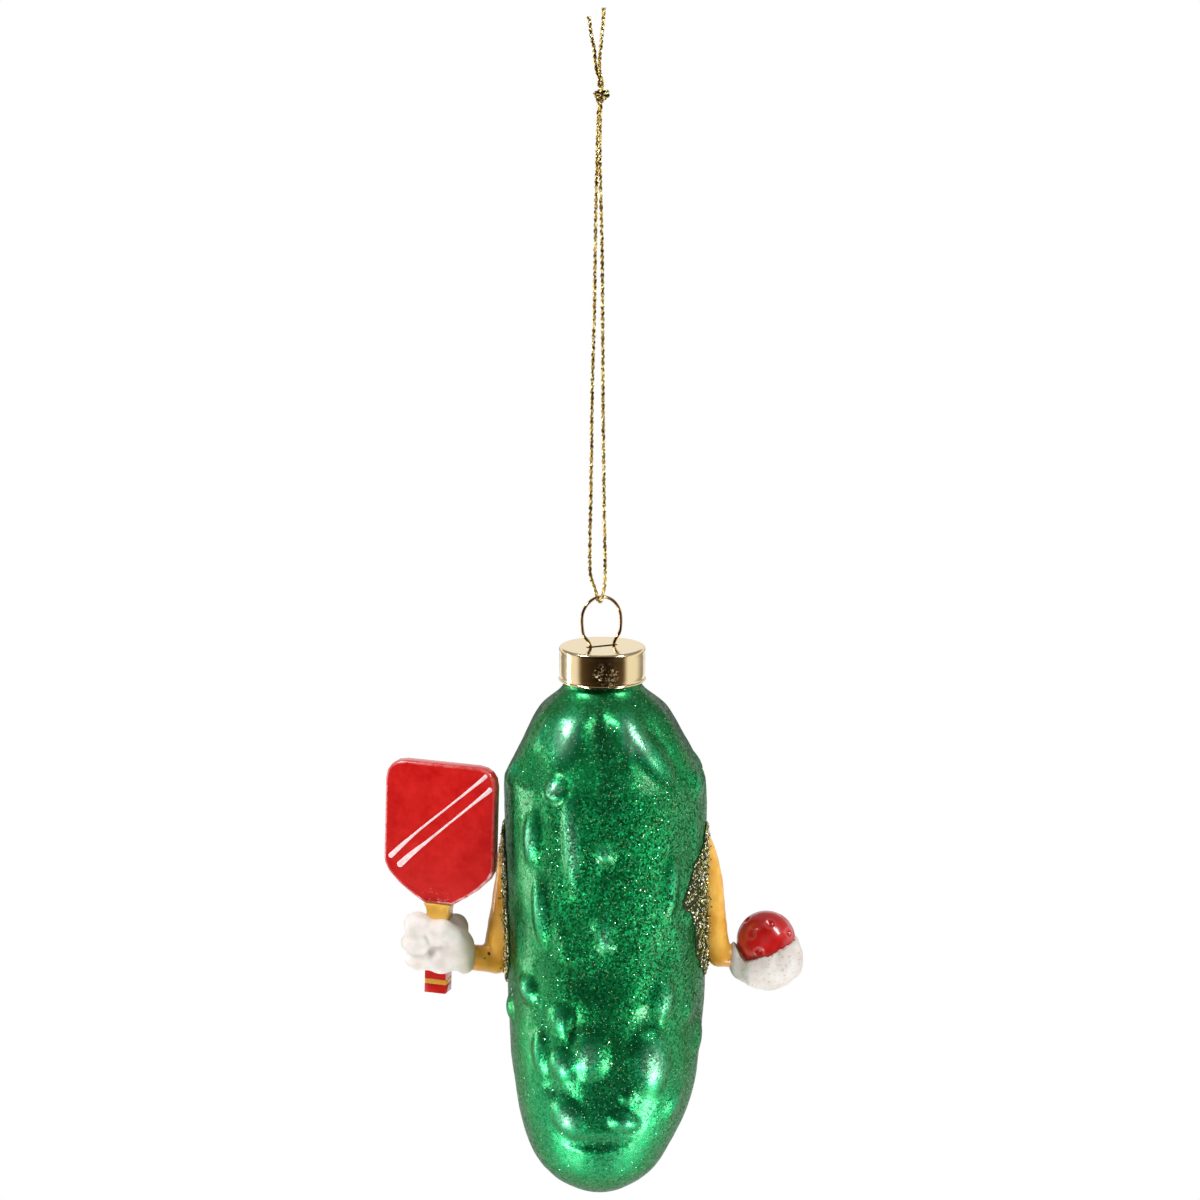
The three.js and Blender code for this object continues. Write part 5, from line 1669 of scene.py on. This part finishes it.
paper_mix = add(paper, "MixShader", {0: paper_seen, 1: paper_shader.outputs[0], 2: paper_white.outputs[0]})
feed(paper, paper.node_tree.nodes["Material Output"], {0: paper_mix.outputs[0]})
floor.data.materials.append(paper)

room = bpy.data.worlds.new("room")
bpy.context.scene.world = room
room.use_nodes = True
room_seen = add(room, "LightPath").outputs
# Which way each ray looks: Y goes from the camera to the figure, and Z goes up
room_way = add(room, "SeparateXYZ", {0: add(room, "TexCoord").outputs["Generated"]}).outputs
room_front = add(room, "MapRange", {0: room_way["Y"], 1: -1, 2: -0.5, 3: 0.02, 4: 0.11}).outputs[0]
room_back = add(
    room,
    "MapRange",
    {0: room_way["Y"], 1: -0.54, 2: -0.24, 3: 0, 4: 0.82},
    interpolation_type="SMOOTHSTEP",
).outputs[0]
room_near = add(room, "Math", {0: room_front, 1: room_back}, operation="ADD").outputs[0]
room_rise = add(
    room,
    "Math",
    {0: room_way["Z"], 1: -2.2, 2: room_way["Y"]},
    operation="MULTIPLY_ADD",
).outputs[0]
room_far = add(
    room,
    "MapRange",
    {0: room_rise, 1: 0.75, 2: 1.2, 3: 1, 4: 0.35},
    interpolation_type="SMOOTHSTEP",
).outputs[0]
room_height = add(
    room,
    "Math",
    {0: room_way["Y"], 1: -0.35, 2: room_way["Z"]},
    operation="MULTIPLY_ADD",
).outputs[0]
room_upper = add(
    room,
    "MapRange",
    {0: room_height, 1: -0.04, 2: 0.2, 3: 1, 4: 0.32},
    interpolation_type="SMOOTHSTEP",
).outputs[0]
room_lower = add(
    room,
    "MapRange",
    {0: room_way["Z"], 1: -0.6, 2: -0.34, 3: 0.5, 4: 1},
    interpolation_type="SMOOTHSTEP",
).outputs[0]
room_wall = add(room, "Math", {0: room_near, 1: room_far}, operation="MULTIPLY").outputs[0]
room_band = add(room, "Math", {0: room_wall, 1: room_upper}, operation="MULTIPLY").outputs[0]
room_side = add(room, "Math", {0: room_band, 1: room_lower}, operation="MULTIPLY").outputs[0]
room_strength = add(room, "Mix", {0: room_seen["Is Camera Ray"], 2: room_side, 3: 1.0}, data_type="FLOAT")
room_tint = add(
    room,
    "MapRange",
    {0: room_way["Y"], 1: -0.6, 2: -0.25, 3: 1, 4: 0},
    interpolation_type="SMOOTHSTEP",
).outputs[0]
room_warm = add(
    room,
    "Mix",
    {0: room_tint, 6: linear("#FFFFFF"), 7: linear("#E2B67C")},
    data_type="RGBA",
).outputs[2]
room_colour = add(
    room,
    "Mix",
    {0: room_seen["Is Camera Ray"], 6: room_warm, 7: linear("#FFFFFF")},
    data_type="RGBA",
).outputs[2]
room_inputs = {"Color": room_colour, "Strength": room_strength.outputs[0]}
feed(room, room.node_tree.nodes["Background"], room_inputs)

# Soft boxes: degrees round from the camera, degrees up, width and height in metres, and power
SOFT_BOXES = [
    (-70, 50, 0.36, 0.3, 12),
    (60, 40, 0.2, 0.5, 8.5),
    (-50, -45, 0.26, 0.34, 9),
    (56, -42, 0.34, 0.5, 9),
    (-102, -8, 0.16, 0.5, 3),
    (0, 14, 0.9, 0.9, 5.4),
]
LIT_MIDDLE = Vector((0, 0, -0.17))
LAMP_DISTANCE = 1.25
for around, up, width, height, power in SOFT_BOXES:
    around, up = math.radians(around), math.radians(up)
    way = Vector((math.sin(around) * math.cos(up), -math.cos(around) * math.cos(up), math.sin(up)))
    lamp = placed("soft_box", bpy.data.lights.new("soft_box", "AREA"))
    lamp.data.shape = "RECTANGLE"
    lamp.data.size = width
    lamp.data.size_y = height
    lamp.data.energy = power
    lamp.location = LIT_MIDDLE + LAMP_DISTANCE * way
    lamp.rotation_euler = way.to_track_quat("Z", "Y").to_euler()
    # The broad lamp in front only fills: a mirror would show it as a white square
    lamp.visible_glossy = around != 0

bpy.context.scene.view_settings.view_transform = "Standard"
